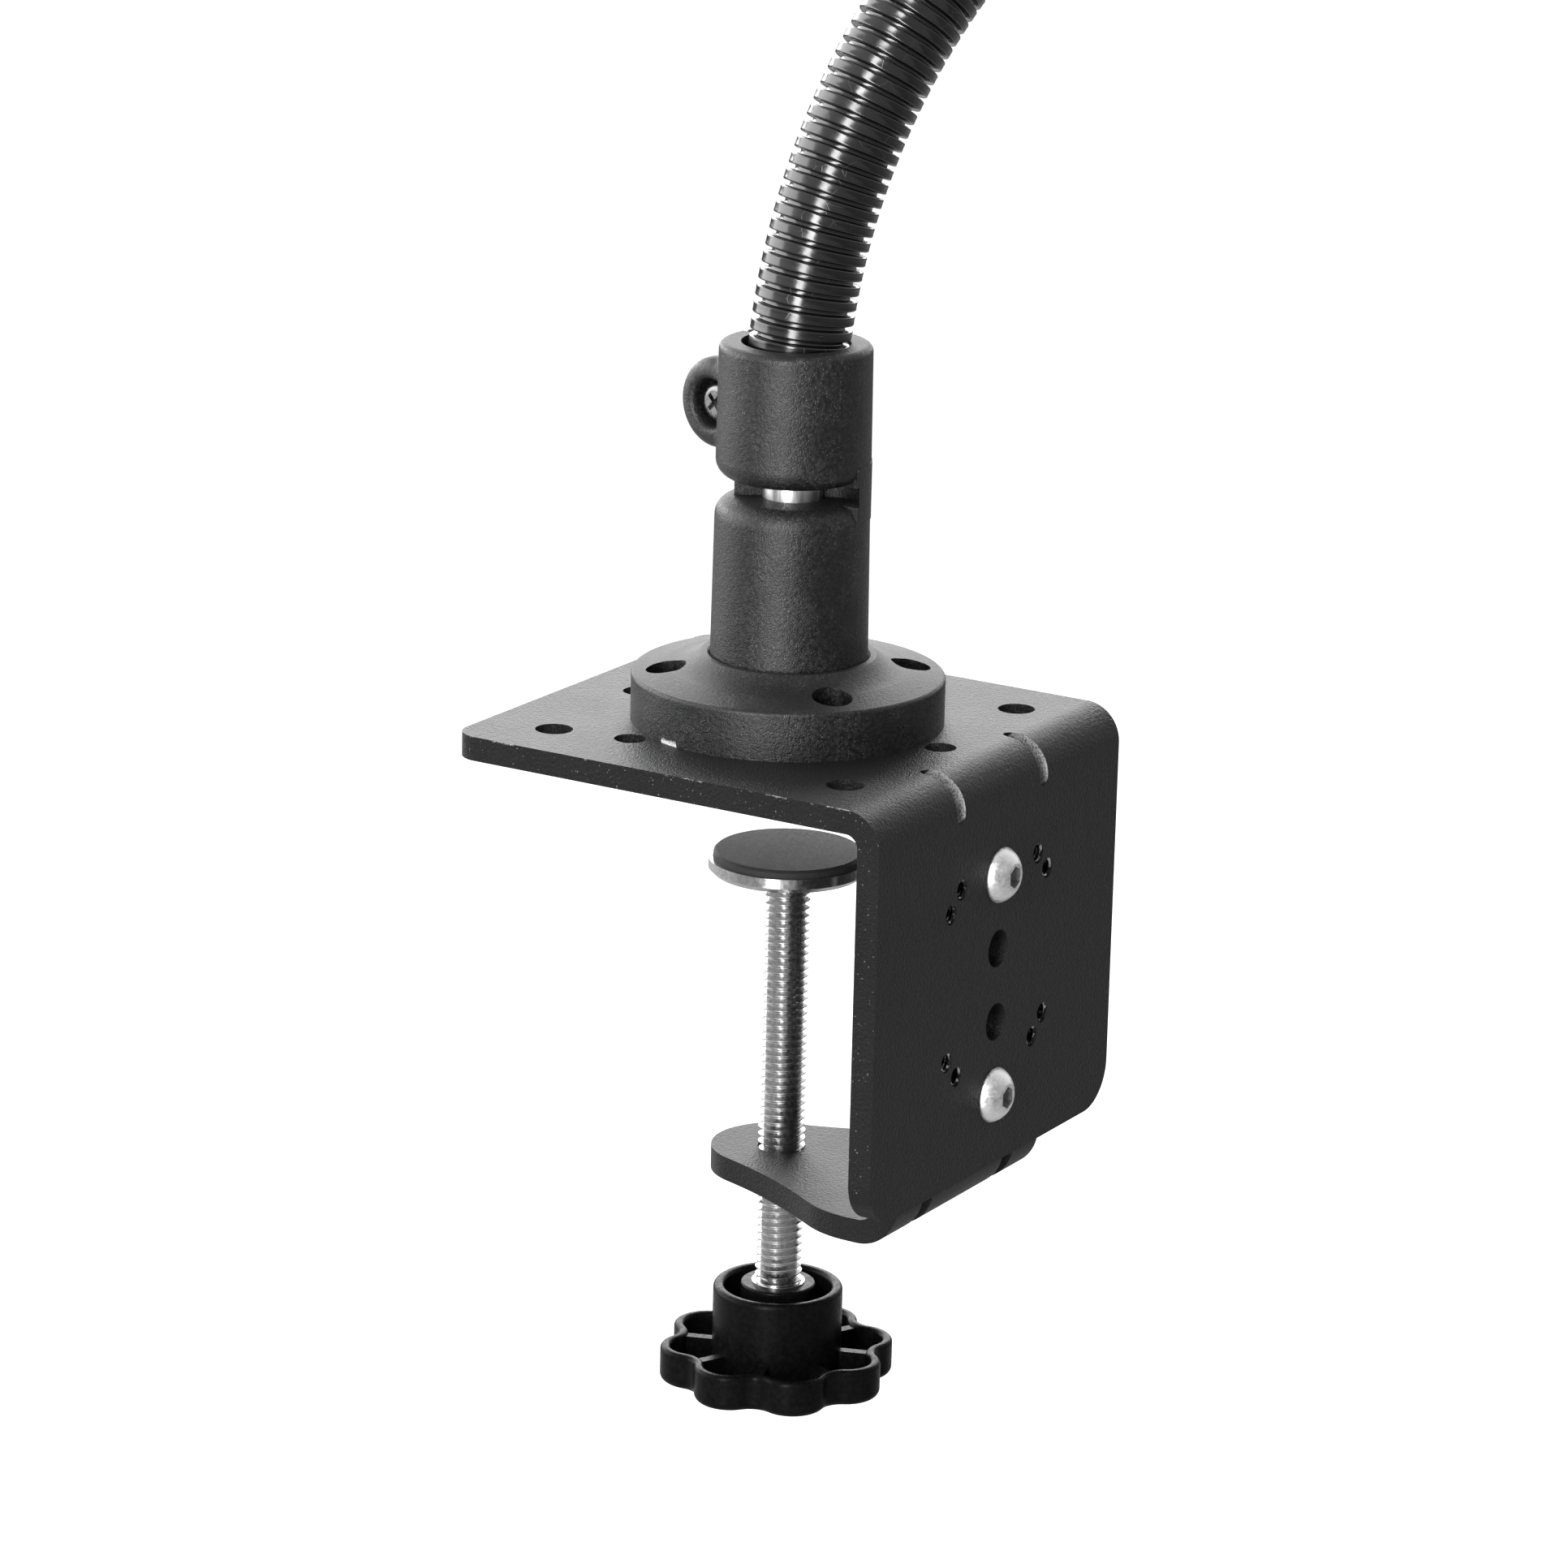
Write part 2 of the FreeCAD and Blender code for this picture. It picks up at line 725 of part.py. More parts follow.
slotFloor = size.postHeight
slotRoof = slotFloor + size.slotHeight
collarTop = slotRoof + size.collarHeight
counterboreFloor = collarTop - size.counterboreDepth
earLevel = collarTop - size.earDrop


def drawPost(body):
    waist = size.postTopRadius - size.shoulderRadius
    lipLevel = size.lipHeight - size.socketFloor
    edge = size.collarEdge
    profile = newSketch(body, "ProfileSketch", "XZ_Plane")
    drawOutline(profile, [
        (0, 0),
        (size.postFootRadius, 0),
        (size.postFootRadius, lipLevel),
        (size.postTopRadius, slotFloor - size.shoulderRadius, "left", size.shoulderRadius),
        (waist, slotFloor),
        (waist, slotRoof, "left", size.shoulderRadius),
        (size.postTopRadius, slotRoof + size.shoulderRadius),
        (size.collarTopRadius, collarTop - edge, "left", edge),
        (size.collarTopRadius - edge, collarTop),
        (0, collarTop),
    ])
    revolve(body, "Revolution", "PostAndCollar", profile)


def drawHinge(body):
    base = slotFloor - size.shoulderRadius
    waist = size.postTopRadius - size.shoulderRadius - size.hingeOverlap
    sector = newSketch(body, "HingeSketch", "XY_Plane", shift=(0, 0, base))
    start, end = size.hingeStart, size.hingeEnd
    middle = (start + end) / 2
    outer, inner = size.hingeRadius, waist
    drawOutline(sector, [
        (inner * cosine(start), inner * sine(start)),
        (outer * cosine(start), outer * sine(start), "left", outer),
        (outer * cosine(middle), outer * sine(middle), "left", outer),
        (outer * cosine(end), outer * sine(end)),
        (inner * cosine(end), inner * sine(end), "right", inner),
        (inner * cosine(middle), inner * sine(middle), "right", inner),
    ])
    extrude(body, "Pad", "HingeWall", sector, size.slotHeight + size.shoulderRadius * 2)


# The ear is a short barrel whose axis crosses the collar's split at a right angle.
def drawEar(body):
    x = size.earReach * cosine(size.earAzimuth)
    y = size.earReach * sine(size.earAzimuth)
    barrel = newSketch(body, "EarSketch", "XY_Plane", (x, y, earLevel), zAxis, size.earAzimuth)
    radius, half, edge = size.earRadius, size.earHalfWidth, size.earEdge
    drawOutline(barrel, [
        (0, -half),
        (radius - edge, -half, "left", edge),
        (radius, edge - half),
        (radius, half - edge, "left", edge),
        (radius - edge, half),
        (0, half),
    ])
    revolve(body, "Revolution", "Ear", barrel)

    def isRoot(edge):
        return isinstance(edge.Curve, Part.BSplineCurve)

    roundEdges(body, "EarRoot", size.earRoot, isRoot, removes=False)


def cutBores(body):
    bore = size.rodRadius + size.rodClearance
    reliefStart = size.rodSeat + size.rodStraight
    bottom = size.rodSeat - size.rodSeatGap
    profile = newSketch(body, "BoreSketch", "XZ_Plane")
    drawOutline(profile, [
        (0, bottom),
        (bore, bottom),
        (bore, reliefStart),
        (bore + size.boreRelief, counterboreFloor),
        (size.counterboreRadius, counterboreFloor),
        (size.counterboreRadius, collarTop + boxMargin),
        (0, collarTop + boxMargin),
    ])
    revolve(body, "Groove", "Bores", profile)
    pilot = newSketch(body, "PilotSketch", "XY_Plane")
    drawCircle(pilot, 0, 0, size.socketScrewRadius + size.threadClearance)
    extrude(body, "Pocket", "PilotHole", pilot, size.rodSeat, backwards=True)


def cutSlot(body):
    far = -(size.postFootRadius + boxMargin)
    corner = size.windowCorner
    window = newSketch(body, "WindowSketch", "XY_Plane", shift=(0, 0, slotFloor))
    drawOutline(window, [
        (far, far),
        (size.windowReach, far),
        (size.windowReach, -corner, "left", corner),
        (size.windowReach - corner, 0),
        (far, 0),
    ])
    extrude(body, "Pocket", "Slot", window, size.slotHeight, backwards=True)
    split = newSketch(body, "SplitSketch", "XY_Plane", (0, 0, slotFloor), zAxis, size.earAzimuth)
    half = size.splitWidth / 2
    reach = size.earReach + size.earRadius + boxMargin
    drawBox(split, 0, reach, -half, half)
    extrude(body, "Pocket", "Split", split, size.slotHeight + size.collarHeight, backwards=True)


# The pinch screw's head sits in a round well on one side of the ear and its nut in a hexagon opposite.
# The well's mouth runs on past the ear, so that a driver reaches the screw beside the collar.
def cutPinchHoles(body):
    x = size.earReach * cosine(size.earAzimuth)
    y = size.earReach * sine(size.earAzimuth)
    beyond = size.postFootRadius + boxMargin
    mouth = size.pinchMouth
    hole = newSketch(body, "PinchSketch", "XY_Plane", (x, y, earLevel), zAxis, size.earAzimuth)
    drawOutline(hole, [
        (0, -beyond),
        (size.pinchHoleRadius, -beyond),
        (size.pinchHoleRadius, size.pinchSeat),
        (size.pinchWellRadius, size.pinchSeat),
        (size.pinchWellRadius, size.earHalfWidth - mouth, "right", mouth),
        (size.pinchWellRadius + mouth, size.earHalfWidth),
        (size.pinchWellRadius + mouth, beyond),
        (0, beyond),
    ])
    revolve(body, "Groove", "PinchHole", hole)


def cutNutPocket(body):
    azimuth = size.earAzimuth
    x = size.earReach * cosine(azimuth) + size.pinchSeat * sine(azimuth)
    y = size.earReach * sine(azimuth) - size.pinchSeat * cosine(azimuth)
    pocket = newSketch(body, "NutSketch", "XZ_Plane", (x, earLevel, -y), yAxis, azimuth)
    drawHexagon(pocket, size.nutFlats + size.nutClearance * 2)
    depth = size.earHalfWidth - size.pinchSeat + boxMargin
    extrude(body, "Pocket", "NutPocket", pocket, depth, backwards=True)


def makeArmSocket():
    body = newBody("arm_socket")
    placeBody(body, 0, 0, postFoot, zAxis, size.socketAzimuth)
    drawPost(body)
    drawHinge(body)
    drawEar(body)
    cutBores(body)
    cutSlot(body)
    cutPinchHoles(body)
    cutNutPocket(body)


pinchSizes = {
    "pinchHeadRadius": 4.1,
    "pinchHeadHeight": 2.6,
    "pinchHeadEdge": 0.9,
    "pinchShankRadius": 2.08,
    "pinchTurn": 45.0,
    "nutFlats": 8.7,
    "nutThickness": 3.2,
    "nutBore": 2.1,
    "screwTail": 0.4,
}
enterSizes(pinchSizes)


# Both lie across the ear, turned with the collar: first onto their side, then to the ear's azimuth.
def placeAcrossEar(body, along, turn):
    azimuth = size.socketAzimuth + size.earAzimuth
    x = size.earReach * cosine(azimuth) - along * sine(azimuth)
    y = size.earReach * sine(azimuth) + along * cosine(azimuth)
    z = postFoot + earLevel
    upright = FreeCAD.Rotation(zAxis, azimuth.value)
    lying = FreeCAD.Rotation(xAxis, -square) * FreeCAD.Rotation(zAxis, asSize(turn).value)
    body.Placement = FreeCAD.Placement(FreeCAD.Vector(x.value, y.value, z.value), upright * lying)


def makePinchScrew():
    body = newBody("pinch_screw")
    placeAcrossEar(body, size.pinchSeat, size.pinchTurn)
    length = size.pinchSeat * 2 + size.nutThickness + size.screwTail
    buildPanScrew(body, size.pinchHeadRadius, size.pinchHeadHeight, size.pinchHeadEdge,
                  size.pinchShankRadius, length)


def makePinchNut():
    body = newBody("pinch_nut")
    placeAcrossEar(body, -(size.pinchSeat + size.nutThickness), 0)
    hexagon = newSketch(body, "HexagonSketch", "XY_Plane")
    drawHexagon(hexagon, size.nutFlats)
    drawCircle(hexagon, 0, 0, size.nutBore)
    extrude(body, "Pad", "Nut", hexagon, size.nutThickness)


# Arm: an aluminium rod that stands straight in the collar and then bends over in one even curve,
# inside a sleeve of moulded rings. The rod's bare end past the sleeve is where a holder goes on.
armSizes = {
    "rodRadius": 6.0,
    "rodStraight": 40.0,
    "bendAzimuth": -28.9,
    "armBend": 131.5,
    "ringCount": 31,
    "ringPitch": 3.1,
    "ringMouth": 1.0,
    "ringFloor": 0.7,
    "ringLip": 0.3,
    "sleeveRadius": 10.0,
    "sleeveDip": 8.4,
    "sleeveBore": 7.2,
    "sleeveSeatGap": 0.3,
    "rodStub": 12.0,
    "rodChamfer": 1.0,
}
enterSizes(armSizes)

rodFoot = postFoot + size.rodSeat
bendLevel = rodFoot + size.rodStraight
sleeveRise = postFoot + counterboreFloor + size.sleeveSeatGap - bendLevel
sleeveStart = arcSine(sleeveRise / (size.armBend - size.sleeveRadius))
sleeveSweep = degreesAlong(size.ringPitch * size.ringCount, size.armBend)


def makeFlexRod():
    body = newBody("flex_rod")
    placeBody(body, 0, 0, rodFoot, zAxis, size.bendAzimuth)
    foot = newSketch(body, "FootSketch", "XY_Plane")
    drawCircle(foot, 0, 0, size.rodRadius)
    extrude(body, "Pad", "StraightRod", foot, size.rodStraight)
    bent = newSketch(body, "BentSketch", "XY_Plane", shift=(size.armBend, 0, size.rodStraight))
    drawCircle(bent, -size.armBend, 0, size.rodRadius)
    sweep = sleeveStart + sleeveSweep
    revolve(body, "Revolution", "BentRod", bent, angle=sweep)
    endX = size.armBend - size.armBend * cosine(sweep)
    endZ = size.rodStraight + size.armBend * sine(sweep)
    chamfer = size.rodChamfer
    stub = newSketch(body, "StubSketch", "XZ_Plane", (endX, endZ, 0), zAxis, -sweep)
    drawOutline(stub, [
        (0, 0),
        (size.rodRadius, 0),
        (size.rodRadius, size.rodStub - chamfer),
        (size.rodRadius - chamfer, size.rodStub),
        (0, size.rodStub),
    ])
    revolve(body, "Revolution", "Stub", stub)


# The sleeve is drawn with its first ring level and then swung along the bend to where it starts.
# Its rings are left standing between grooves, each turned about the bend's line at its own place.
def makeSheath():
    body = newBody("sheath")
    bend = size.armBend
    tube = newSketch(body, "TubeSketch", "XY_Plane", shift=(bend, 0, 0))
    drawCircle(tube, -bend, 0, size.sleeveRadius)
    drawCircle(tube, -bend, 0, size.sleeveBore)
    revolve(body, "Revolution", "Tube", tube, angle=sleeveSweep)
    groove = newSketch(body, "GrooveSketch", "XZ_Plane", shift=(bend, 0, 0))
    lip = size.ringLip
    outside = size.sleeveRadius + lip
    halfMouth, halfFloor = size.ringMouth / 2, size.ringFloor / 2
    drawOutline(groove, [
        (size.sleeveDip - bend, -halfFloor),
        (size.sleeveDip - bend, halfFloor),
        (size.sleeveRadius - lip - bend, halfMouth),
        (outside - bend, halfMouth + lip * 2),
        (outside - bend, -halfMouth - lip * 2),
        (size.sleeveRadius - lip - bend, -halfMouth),
    ])
    drawAxis(groove, -bend, size.ringPitch)
    first = revolve(body, "Groove", "Groove", groove, axis="Axis0")
    count = int(size.ringCount.value) + 1
    step = degreesAlong(size.ringPitch, bend)
    repeatRound(body, "Grooves", first, (groove, ["N_Axis"]), count, True, step, backwards=True)
    swing = FreeCAD.Rotation(yAxis, sleeveStart.value)
    centre = FreeCAD.Vector(bend.value, 0, 0)
    turned = FreeCAD.Placement(centre - swing.multVec(centre), swing)
    facing = FreeCAD.Rotation(zAxis, size.bendAzimuth.value)
    body.Placement = FreeCAD.Placement(FreeCAD.Vector(0, 0, bendLevel.value), facing) * turned


# Clamp screw, with the pressure pad that it carries at its top and the knob at its foot.
clampSizes = {
    "deskThickness": 22.0,
    "screwRadius": 4.7625,
    "screwClearance": 0.08,
    "screwChamfer": 0.8,
    "screwReach": 86.0,
    "screwInKnob": 15.6,
    "neckRadius": 3.0,
    "neckClearance": 0.3,
    "rivetRadius": 4.5,
    "rivetHeight": 1.2,
    "rivetClearance": 0.4,
    "padRadius": 15.0,
    "padThickness": 2.5,
    "padEdge": 0.5,
    "cupRadius": 16.0,
    "cupThickness": 2.0,
    "cupLip": 1.0,
    "cupClearance": 0.1,
    "padWasherRadius": 7.0,
    "padWasherThickness": 1.2,
    "padWasherGap": 0.1,
}
enterSizes(clampSizes)

padTop = -size.deskThickness
cupTop = padTop - size.padThickness
cupBase = cupTop - size.cupThickness
washerBase = cupBase - size.padWasherThickness
screwShoulder = washerBase - size.padWasherGap
knobTop = screwShoulder - size.screwReach
neckBore = size.neckRadius + size.neckClearance


def makeClampScrew():
    body = newBody("clamp_screw")
    placeBody(body, 0, screwLine, screwShoulder)
    bottom = -(size.screwReach + size.screwInKnob)
    seat = cupTop - screwShoulder
    chamfer = size.screwChamfer
    profile = newSketch(body, "ProfileSketch", "XZ_Plane")
    drawOutline(profile, [
        (0, bottom),
        (size.screwRadius - chamfer, bottom),
        (size.screwRadius, bottom + chamfer),
        (size.screwRadius, -chamfer),
        (size.screwRadius - chamfer, 0),
        (size.neckRadius, 0),
        (size.neckRadius, seat),
        (size.rivetRadius, seat),
        (size.neckRadius, seat + size.rivetHeight),
        (0, seat + size.rivetHeight),
    ])
    revolve(body, "Revolution", "Screw", profile)


def makePadFace():
    body = newBody("pad_face")
    placeBody(body, 0, screwLine, cupTop)
    profile = newSketch(body, "ProfileSketch", "XZ_Plane")
    pocket = size.rivetRadius + size.rivetClearance
    roof = size.rivetHeight + size.rivetClearance
    edge = size.padEdge
    drawOutline(profile, [
        (0, roof),
        (pocket, roof),
        (pocket, 0),
        (size.padRadius, 0),
        (size.padRadius, size.padThickness - edge),
        (size.padRadius - edge, size.padThickness),
        (0, size.padThickness),
    ])
    revolve(body, "Revolution", "Face", profile)


def makePadCup():
    body = newBody("pad_cup")
    placeBody(body, 0, screwLine, cupBase)
    wall = size.padRadius + size.cupClearance
    lip = size.cupThickness + size.cupLip
    profile = newSketch(body, "ProfileSketch", "XZ_Plane")
    drawOutline(profile, [
        (neckBore, 0),
        (size.cupRadius - size.cupLip, 0),
        (size.cupRadius, size.cupLip),
        (size.cupRadius, lip),
        (wall, lip),
        (wall, size.cupThickness),
        (neckBore, size.cupThickness),
    ])
    revolve(body, "Revolution", "Cup", profile)


def makePadWasher():
    radius, thickness = size.padWasherRadius, size.padWasherThickness
    makeWasher("pad_washer", radius, neckBore, thickness, 0, screwLine, washerBase)


# Knob: a lobed rim whose wall runs round a ribbed tray, and a hub with a boss round the screw.
knobSizes = {
    "knobAzimuth": -137.8,
    "knobRadius": 24.0,
    "dentDepth": 3.3,
    "dentRadius": 4.13,
    "rimHeight": 7.6,
    "rimWall": 2.1,
    "trayFloor": 2.4,
    "ribWidth": 2.0,
    "ribDrop": 0.7,
    "hubRadius": 13.2,
    "hubWall": 2.3,
    "hubDrop": 0.5,
    "hubFloor": 6.0,
    "bossRadius": 7.6,
    "knobHeight": 20.6,
    "knobBaseEdge": 1.6,
    "rimEdge": 0.9,
    "hubEdge": 1.0,
    "bossEdge": 0.5,
    "insertRadius": 5.4,
    "insertClearance": 0.02,
    "insertProud": 0.3,
    "insertFloor": 4.5,
}
enterSizes(knobSizes)
lobeCount = 8

lobeHalf = fullTurn / lobeCount / 2
dentCentre = size.knobRadius - size.dentDepth + size.dentRadius


# The lobe's own radius follows from the lobe and the dent being tangent to each other.
def lobeRadius():
    tip, reach, dent = size.knobRadius, dentCentre, size.dentRadius
    apart = tip * tip + reach * reach - tip * reach * (2 * math.cos(math.radians(lobeHalf)))
    return (apart - dent * dent) / ((tip + dent - reach * math.cos(math.radians(lobeHalf))) * 2)


def drawLobes(sketch, inset):
    lobe = lobeRadius()
    lobeCentre = size.knobRadius - lobe
    acrossX = dentCentre * math.cos(math.radians(lobeHalf)) - lobeCentre
    acrossY = dentCentre * math.sin(math.radians(lobeHalf))
    meetX = lobeCentre + acrossX * (lobe - inset) / (lobe + size.dentRadius)
    meetY = acrossY * (lobe - inset) / (lobe + size.dentRadius)
    corners = []
    for index in range(lobeCount):
        azimuth = index * 2 * lobeHalf
        turnX, turnY = math.cos(math.radians(azimuth)), math.sin(math.radians(azimuth))
        corners.append((meetX * turnX + meetY * turnY, meetX * turnY - meetY * turnX, "left", lobe - inset))
        corners.append((meetX * turnX - meetY * turnY, meetX * turnY + meetY * turnX, "right",
                        size.dentRadius + inset))
    drawOutline(sketch, corners)


def drawTray(body):
    rim = newSketch(body, "TraySketch", "XY_Plane", shift=(0, 0, size.trayFloor))
    drawLobes(rim, size.rimWall)
    extrude(body, "Pocket", "Tray", rim, size.rimHeight - size.trayFloor, backwards=True)

    def isRimEdge(edge):
        return isAt(edge.BoundBox.ZMin, size.rimHeight)

    roundEdges(body, "RimEdges", size.rimEdge, isRimEdge)
    inner = size.hubRadius - size.hubWall
    outer = size.knobRadius - size.dentDepth - size.rimWall / 2
    rib = newSketch(body, "RibSketch", "XY_Plane", (0, 0, size.trayFloor), zAxis, lobeHalf)
    drawBox(rib, inner, outer, size.ribWidth / -2, size.ribWidth / 2)
    first = extrude(body, "Pad", "Rib", rib, size.rimHeight - size.ribDrop - size.trayFloor)
    repeatRound(body, "Ribs", first, (rib, ["N_Axis"]), lobeCount, False)


def drawHub(body):
    hub = newSketch(body, "HubSketch", "XZ_Plane")
    inner = size.hubRadius - size.hubWall
    bossTop = size.knobHeight
    hubTop = bossTop - size.hubDrop
    edge = size.hubEdge
    drawOutline(hub, [
        (0, 0),
        (size.hubRadius, 0),
        (size.hubRadius, hubTop - edge, "left", edge),
        (size.hubRadius - edge, hubTop),
        (inner + edge, hubTop, "left", edge),
        (inner, hubTop - edge),
        (inner, size.hubFloor),
        (size.bossRadius, size.hubFloor),
        (size.bossRadius, bossTop - size.bossEdge, "left", size.bossEdge),
        (size.bossRadius - size.bossEdge, bossTop),
        (0, bossTop),
    ])
    revolve(body, "Revolution", "Hub", hub)


def makeKnob():
    body = newBody("knob")
    placeBody(body, 0, screwLine, knobTop - size.knobHeight, zAxis, size.knobAzimuth)
    rim = newSketch(body, "RimSketch", "XY_Plane")
    drawLobes(rim, asSize(0))
    extrude(body, "Pad", "Rim", rim, size.rimHeight)

    def isBaseEdge(edge):
        return isAt(edge.BoundBox.ZMax, asSize(0))

    roundEdges(body, "BaseEdge", size.knobBaseEdge, isBaseEdge)
    drawTray(body)
    drawHub(body)
    ringPocket = newSketch(body, "InsertSketch", "XY_Plane", shift=(0, 0, size.insertFloor))
    drawCircle(ringPocket, 0, 0, size.insertRadius + size.insertClearance)
    extrude(body, "Pocket", "InsertHole", ringPocket, size.knobHeight, backwards=True)


def makeKnobInsert():
    floor = knobTop - size.knobHeight + size.insertFloor
    bore = size.screwRadius + size.insertClearance
    length = size.knobHeight - size.insertFloor + size.insertProud
    makeWasher("knob_insert", size.insertRadius, bore, length, 0, screwLine, floor)


def checkAndExport():
    doc.recompute()
    for item in doc.Objects:
        if "Invalid" in item.State or "Error" in item.State:
            raise RuntimeError("%s did not build: %s" % (item.Label, item.State))
    os.makedirs("parts", exist_ok=True)
    for body in subParts:
        if body.Shape.isNull() or not body.Shape.isValid() or len(body.Shape.Solids) != 1:
            raise RuntimeError("%s is not one sound solid" % body.Label)
    for body in subParts:
        body.Shape.exportStep("parts/%s.step" % body.Label)
        print("%-16s %10.1f mm3" % (body.Label, body.Shape.Volume))


makeTopBracket()
makeFootBracket()
makeBolt("upper_bolt", 0)
makeBolt("lower_bolt", columnCount - 1)
makeBaseFlange()
makeFlangeScrews()
makeSocketScrew()
makeSocketWasher()
makeArmSocket()
makePinchScrew()
makePinchNut()
makeFlexRod()
makeSheath()
makeClampScrew()
makePadFace()
makePadCup()
makePadWasher()
makeKnob()
makeKnobInsert()
checkAndExport()
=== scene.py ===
import math

import bpy
from mathutils import Matrix, Vector


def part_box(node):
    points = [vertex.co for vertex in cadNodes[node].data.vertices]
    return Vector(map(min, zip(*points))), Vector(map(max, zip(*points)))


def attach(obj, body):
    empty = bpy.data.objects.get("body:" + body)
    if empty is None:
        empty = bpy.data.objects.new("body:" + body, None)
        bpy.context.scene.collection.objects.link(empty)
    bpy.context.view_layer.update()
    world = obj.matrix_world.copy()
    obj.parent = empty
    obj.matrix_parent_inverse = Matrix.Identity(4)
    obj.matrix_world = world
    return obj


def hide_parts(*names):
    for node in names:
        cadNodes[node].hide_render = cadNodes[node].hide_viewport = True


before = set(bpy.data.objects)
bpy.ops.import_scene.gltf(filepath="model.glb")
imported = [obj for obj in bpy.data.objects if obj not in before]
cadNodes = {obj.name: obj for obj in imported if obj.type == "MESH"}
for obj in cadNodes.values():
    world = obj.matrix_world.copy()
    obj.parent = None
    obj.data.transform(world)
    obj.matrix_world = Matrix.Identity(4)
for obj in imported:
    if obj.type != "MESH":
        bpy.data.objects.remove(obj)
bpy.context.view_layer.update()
bpy.ops.object.select_all(action="DESELECT")
millimetre = 0.001  # lengths in all settings are in millimetres, angles in degrees
print("frame loaded")


# short forms for building shader trees
def addNode(tree, kind, **settings):
    node = tree.nodes.new(kind)
    for name, value in settings.items():
        setattr(node, name, value)
    return node


def feed(tree, socket, source):
    if isinstance(source, bpy.types.NodeSocket):
        tree.links.new(source, socket)
    else:
        socket.default_value = source


def math2(tree, operation, first, second=0.5):
    node = addNode(tree, "ShaderNodeMath", operation=operation)
    feed(tree, node.inputs[0], first)
    feed(tree, node.inputs[1], second)
    return node.outputs[0]


def remap(tree, value, low, high, toLow=0.0, toHigh=1.0):
    node = addNode(tree, "ShaderNodeMapRange", interpolation_type="SMOOTHSTEP")
    for index, source in enumerate((value, low, high, toLow, toHigh)):
        feed(tree, node.inputs[index], source)
    return node.outputs[0]


def mixColour(tree, mask, first, second):
    node = addNode(tree, "ShaderNodeMix", data_type="RGBA")
    feed(tree, node.inputs[0], mask)
    feed(tree, node.inputs[6], first)
    feed(tree, node.inputs[7], second)
    return node.outputs[2]


def mixValue(tree, mask, first, second):
    node = addNode(tree, "ShaderNodeMix", data_type="FLOAT")
    feed(tree, node.inputs[0], mask)
    feed(tree, node.inputs[2], first)
    feed(tree, node.inputs[3], second)
    return node.outputs[0]


def noise(tree, place, size, detail=2.0, roughness=0.5):
    node = addNode(tree, "ShaderNodeTexNoise")
    feed(tree, node.inputs["Vector"], place)
    node.inputs["Scale"].default_value = 1 / (size * millimetre)
    node.inputs["Detail"].default_value = detail
    node.inputs["Roughness"].default_value = roughness
    return node.outputs["Fac"]


def grey(level):
    return (level, level, level, 1.0)


def startGroup(name, inputs, outputs):
    group = bpy.data.node_groups.new(name, "ShaderNodeTree")
    for label, kind, value in inputs:
        socket = group.interface.new_socket(label, in_out="INPUT", socket_type=kind)
        if value is not None:
            socket.default_value = value
    for label, kind in outputs:
        group.interface.new_socket(label, in_out="OUTPUT", socket_type=kind)
    return group, addNode(group, "NodeGroupInput"), addNode(group, "NodeGroupOutput")


def useGroup(tree, group, **values):
    node = addNode(tree, "ShaderNodeGroup")
    node.node_tree = group
    for label, value in values.items():
        feed(tree, node.inputs[label], value)
    return node.outputs


def makeGrain():
    # two sizes of noise: a height for the bump and a cloudy mask for the colour
    group, start, end = startGroup("grain", [
        ("Place", "NodeSocketVector", None),
        ("Fine", "NodeSocketFloat", 2000.0),
        ("Coarse", "NodeSocketFloat", 400.0),
    ], [("Height", "NodeSocketFloat"), ("Cloud", "NodeSocketFloat")])
    fine = addNode(group, "ShaderNodeTexNoise")
    feed(group, fine.inputs["Vector"], start.outputs["Place"])
    feed(group, fine.inputs["Scale"], start.outputs["Fine"])
    fine.inputs["Detail"].default_value = 3.0
    coarse = addNode(group, "ShaderNodeTexNoise")
    feed(group, coarse.inputs["Vector"], start.outputs["Place"])
    feed(group, coarse.inputs["Scale"], start.outputs["Coarse"])
    coarse.inputs["Detail"].default_value = 4.0
    feed(group, end.inputs["Height"], math2(group, "ADD", fine.outputs["Fac"], coarse.outputs["Fac"]))
    feed(group, end.inputs["Cloud"], remap(group, coarse.outputs["Fac"], 0.35, 0.7))
    return group


def makeSpecks():
    # scattered dots: one in so many cells holds a dot of its own size
    group, start, end = startGroup("specks", [
        ("Place", "NodeSocketVector", None),
        ("Scale", "NodeSocketFloat", 500.0),
        ("Share", "NodeSocketFloat", 0.05),
        ("Radius", "NodeSocketFloat", 0.2),
    ], [("Mask", "NodeSocketFloat")])
    cells = addNode(group, "ShaderNodeTexVoronoi")
    feed(group, cells.inputs["Vector"], start.outputs["Place"])
    feed(group, cells.inputs["Scale"], start.outputs["Scale"])
    split = addNode(group, "ShaderNodeSeparateColor")
    feed(group, split.inputs[0], cells.outputs["Color"])
    chosen = math2(group, "LESS_THAN", split.outputs[0], start.outputs["Share"])
    reach = math2(group, "MULTIPLY", split.outputs[1], start.outputs["Radius"])
    near = math2(group, "LESS_THAN", cells.outputs["Distance"], reach)
    feed(group, end.inputs["Mask"], math2(group, "MULTIPLY", chosen, near))
    return group


grain = makeGrain()
specks = makeSpecks()


def startMaterial(name):
    material = bpy.data.materials.new(name)
    material.use_nodes = True
    tree = material.node_tree
    shader = tree.nodes["Principled BSDF"]
    place = addNode(tree, "ShaderNodeTexCoord").outputs["Object"]
    return material, tree, shader, place


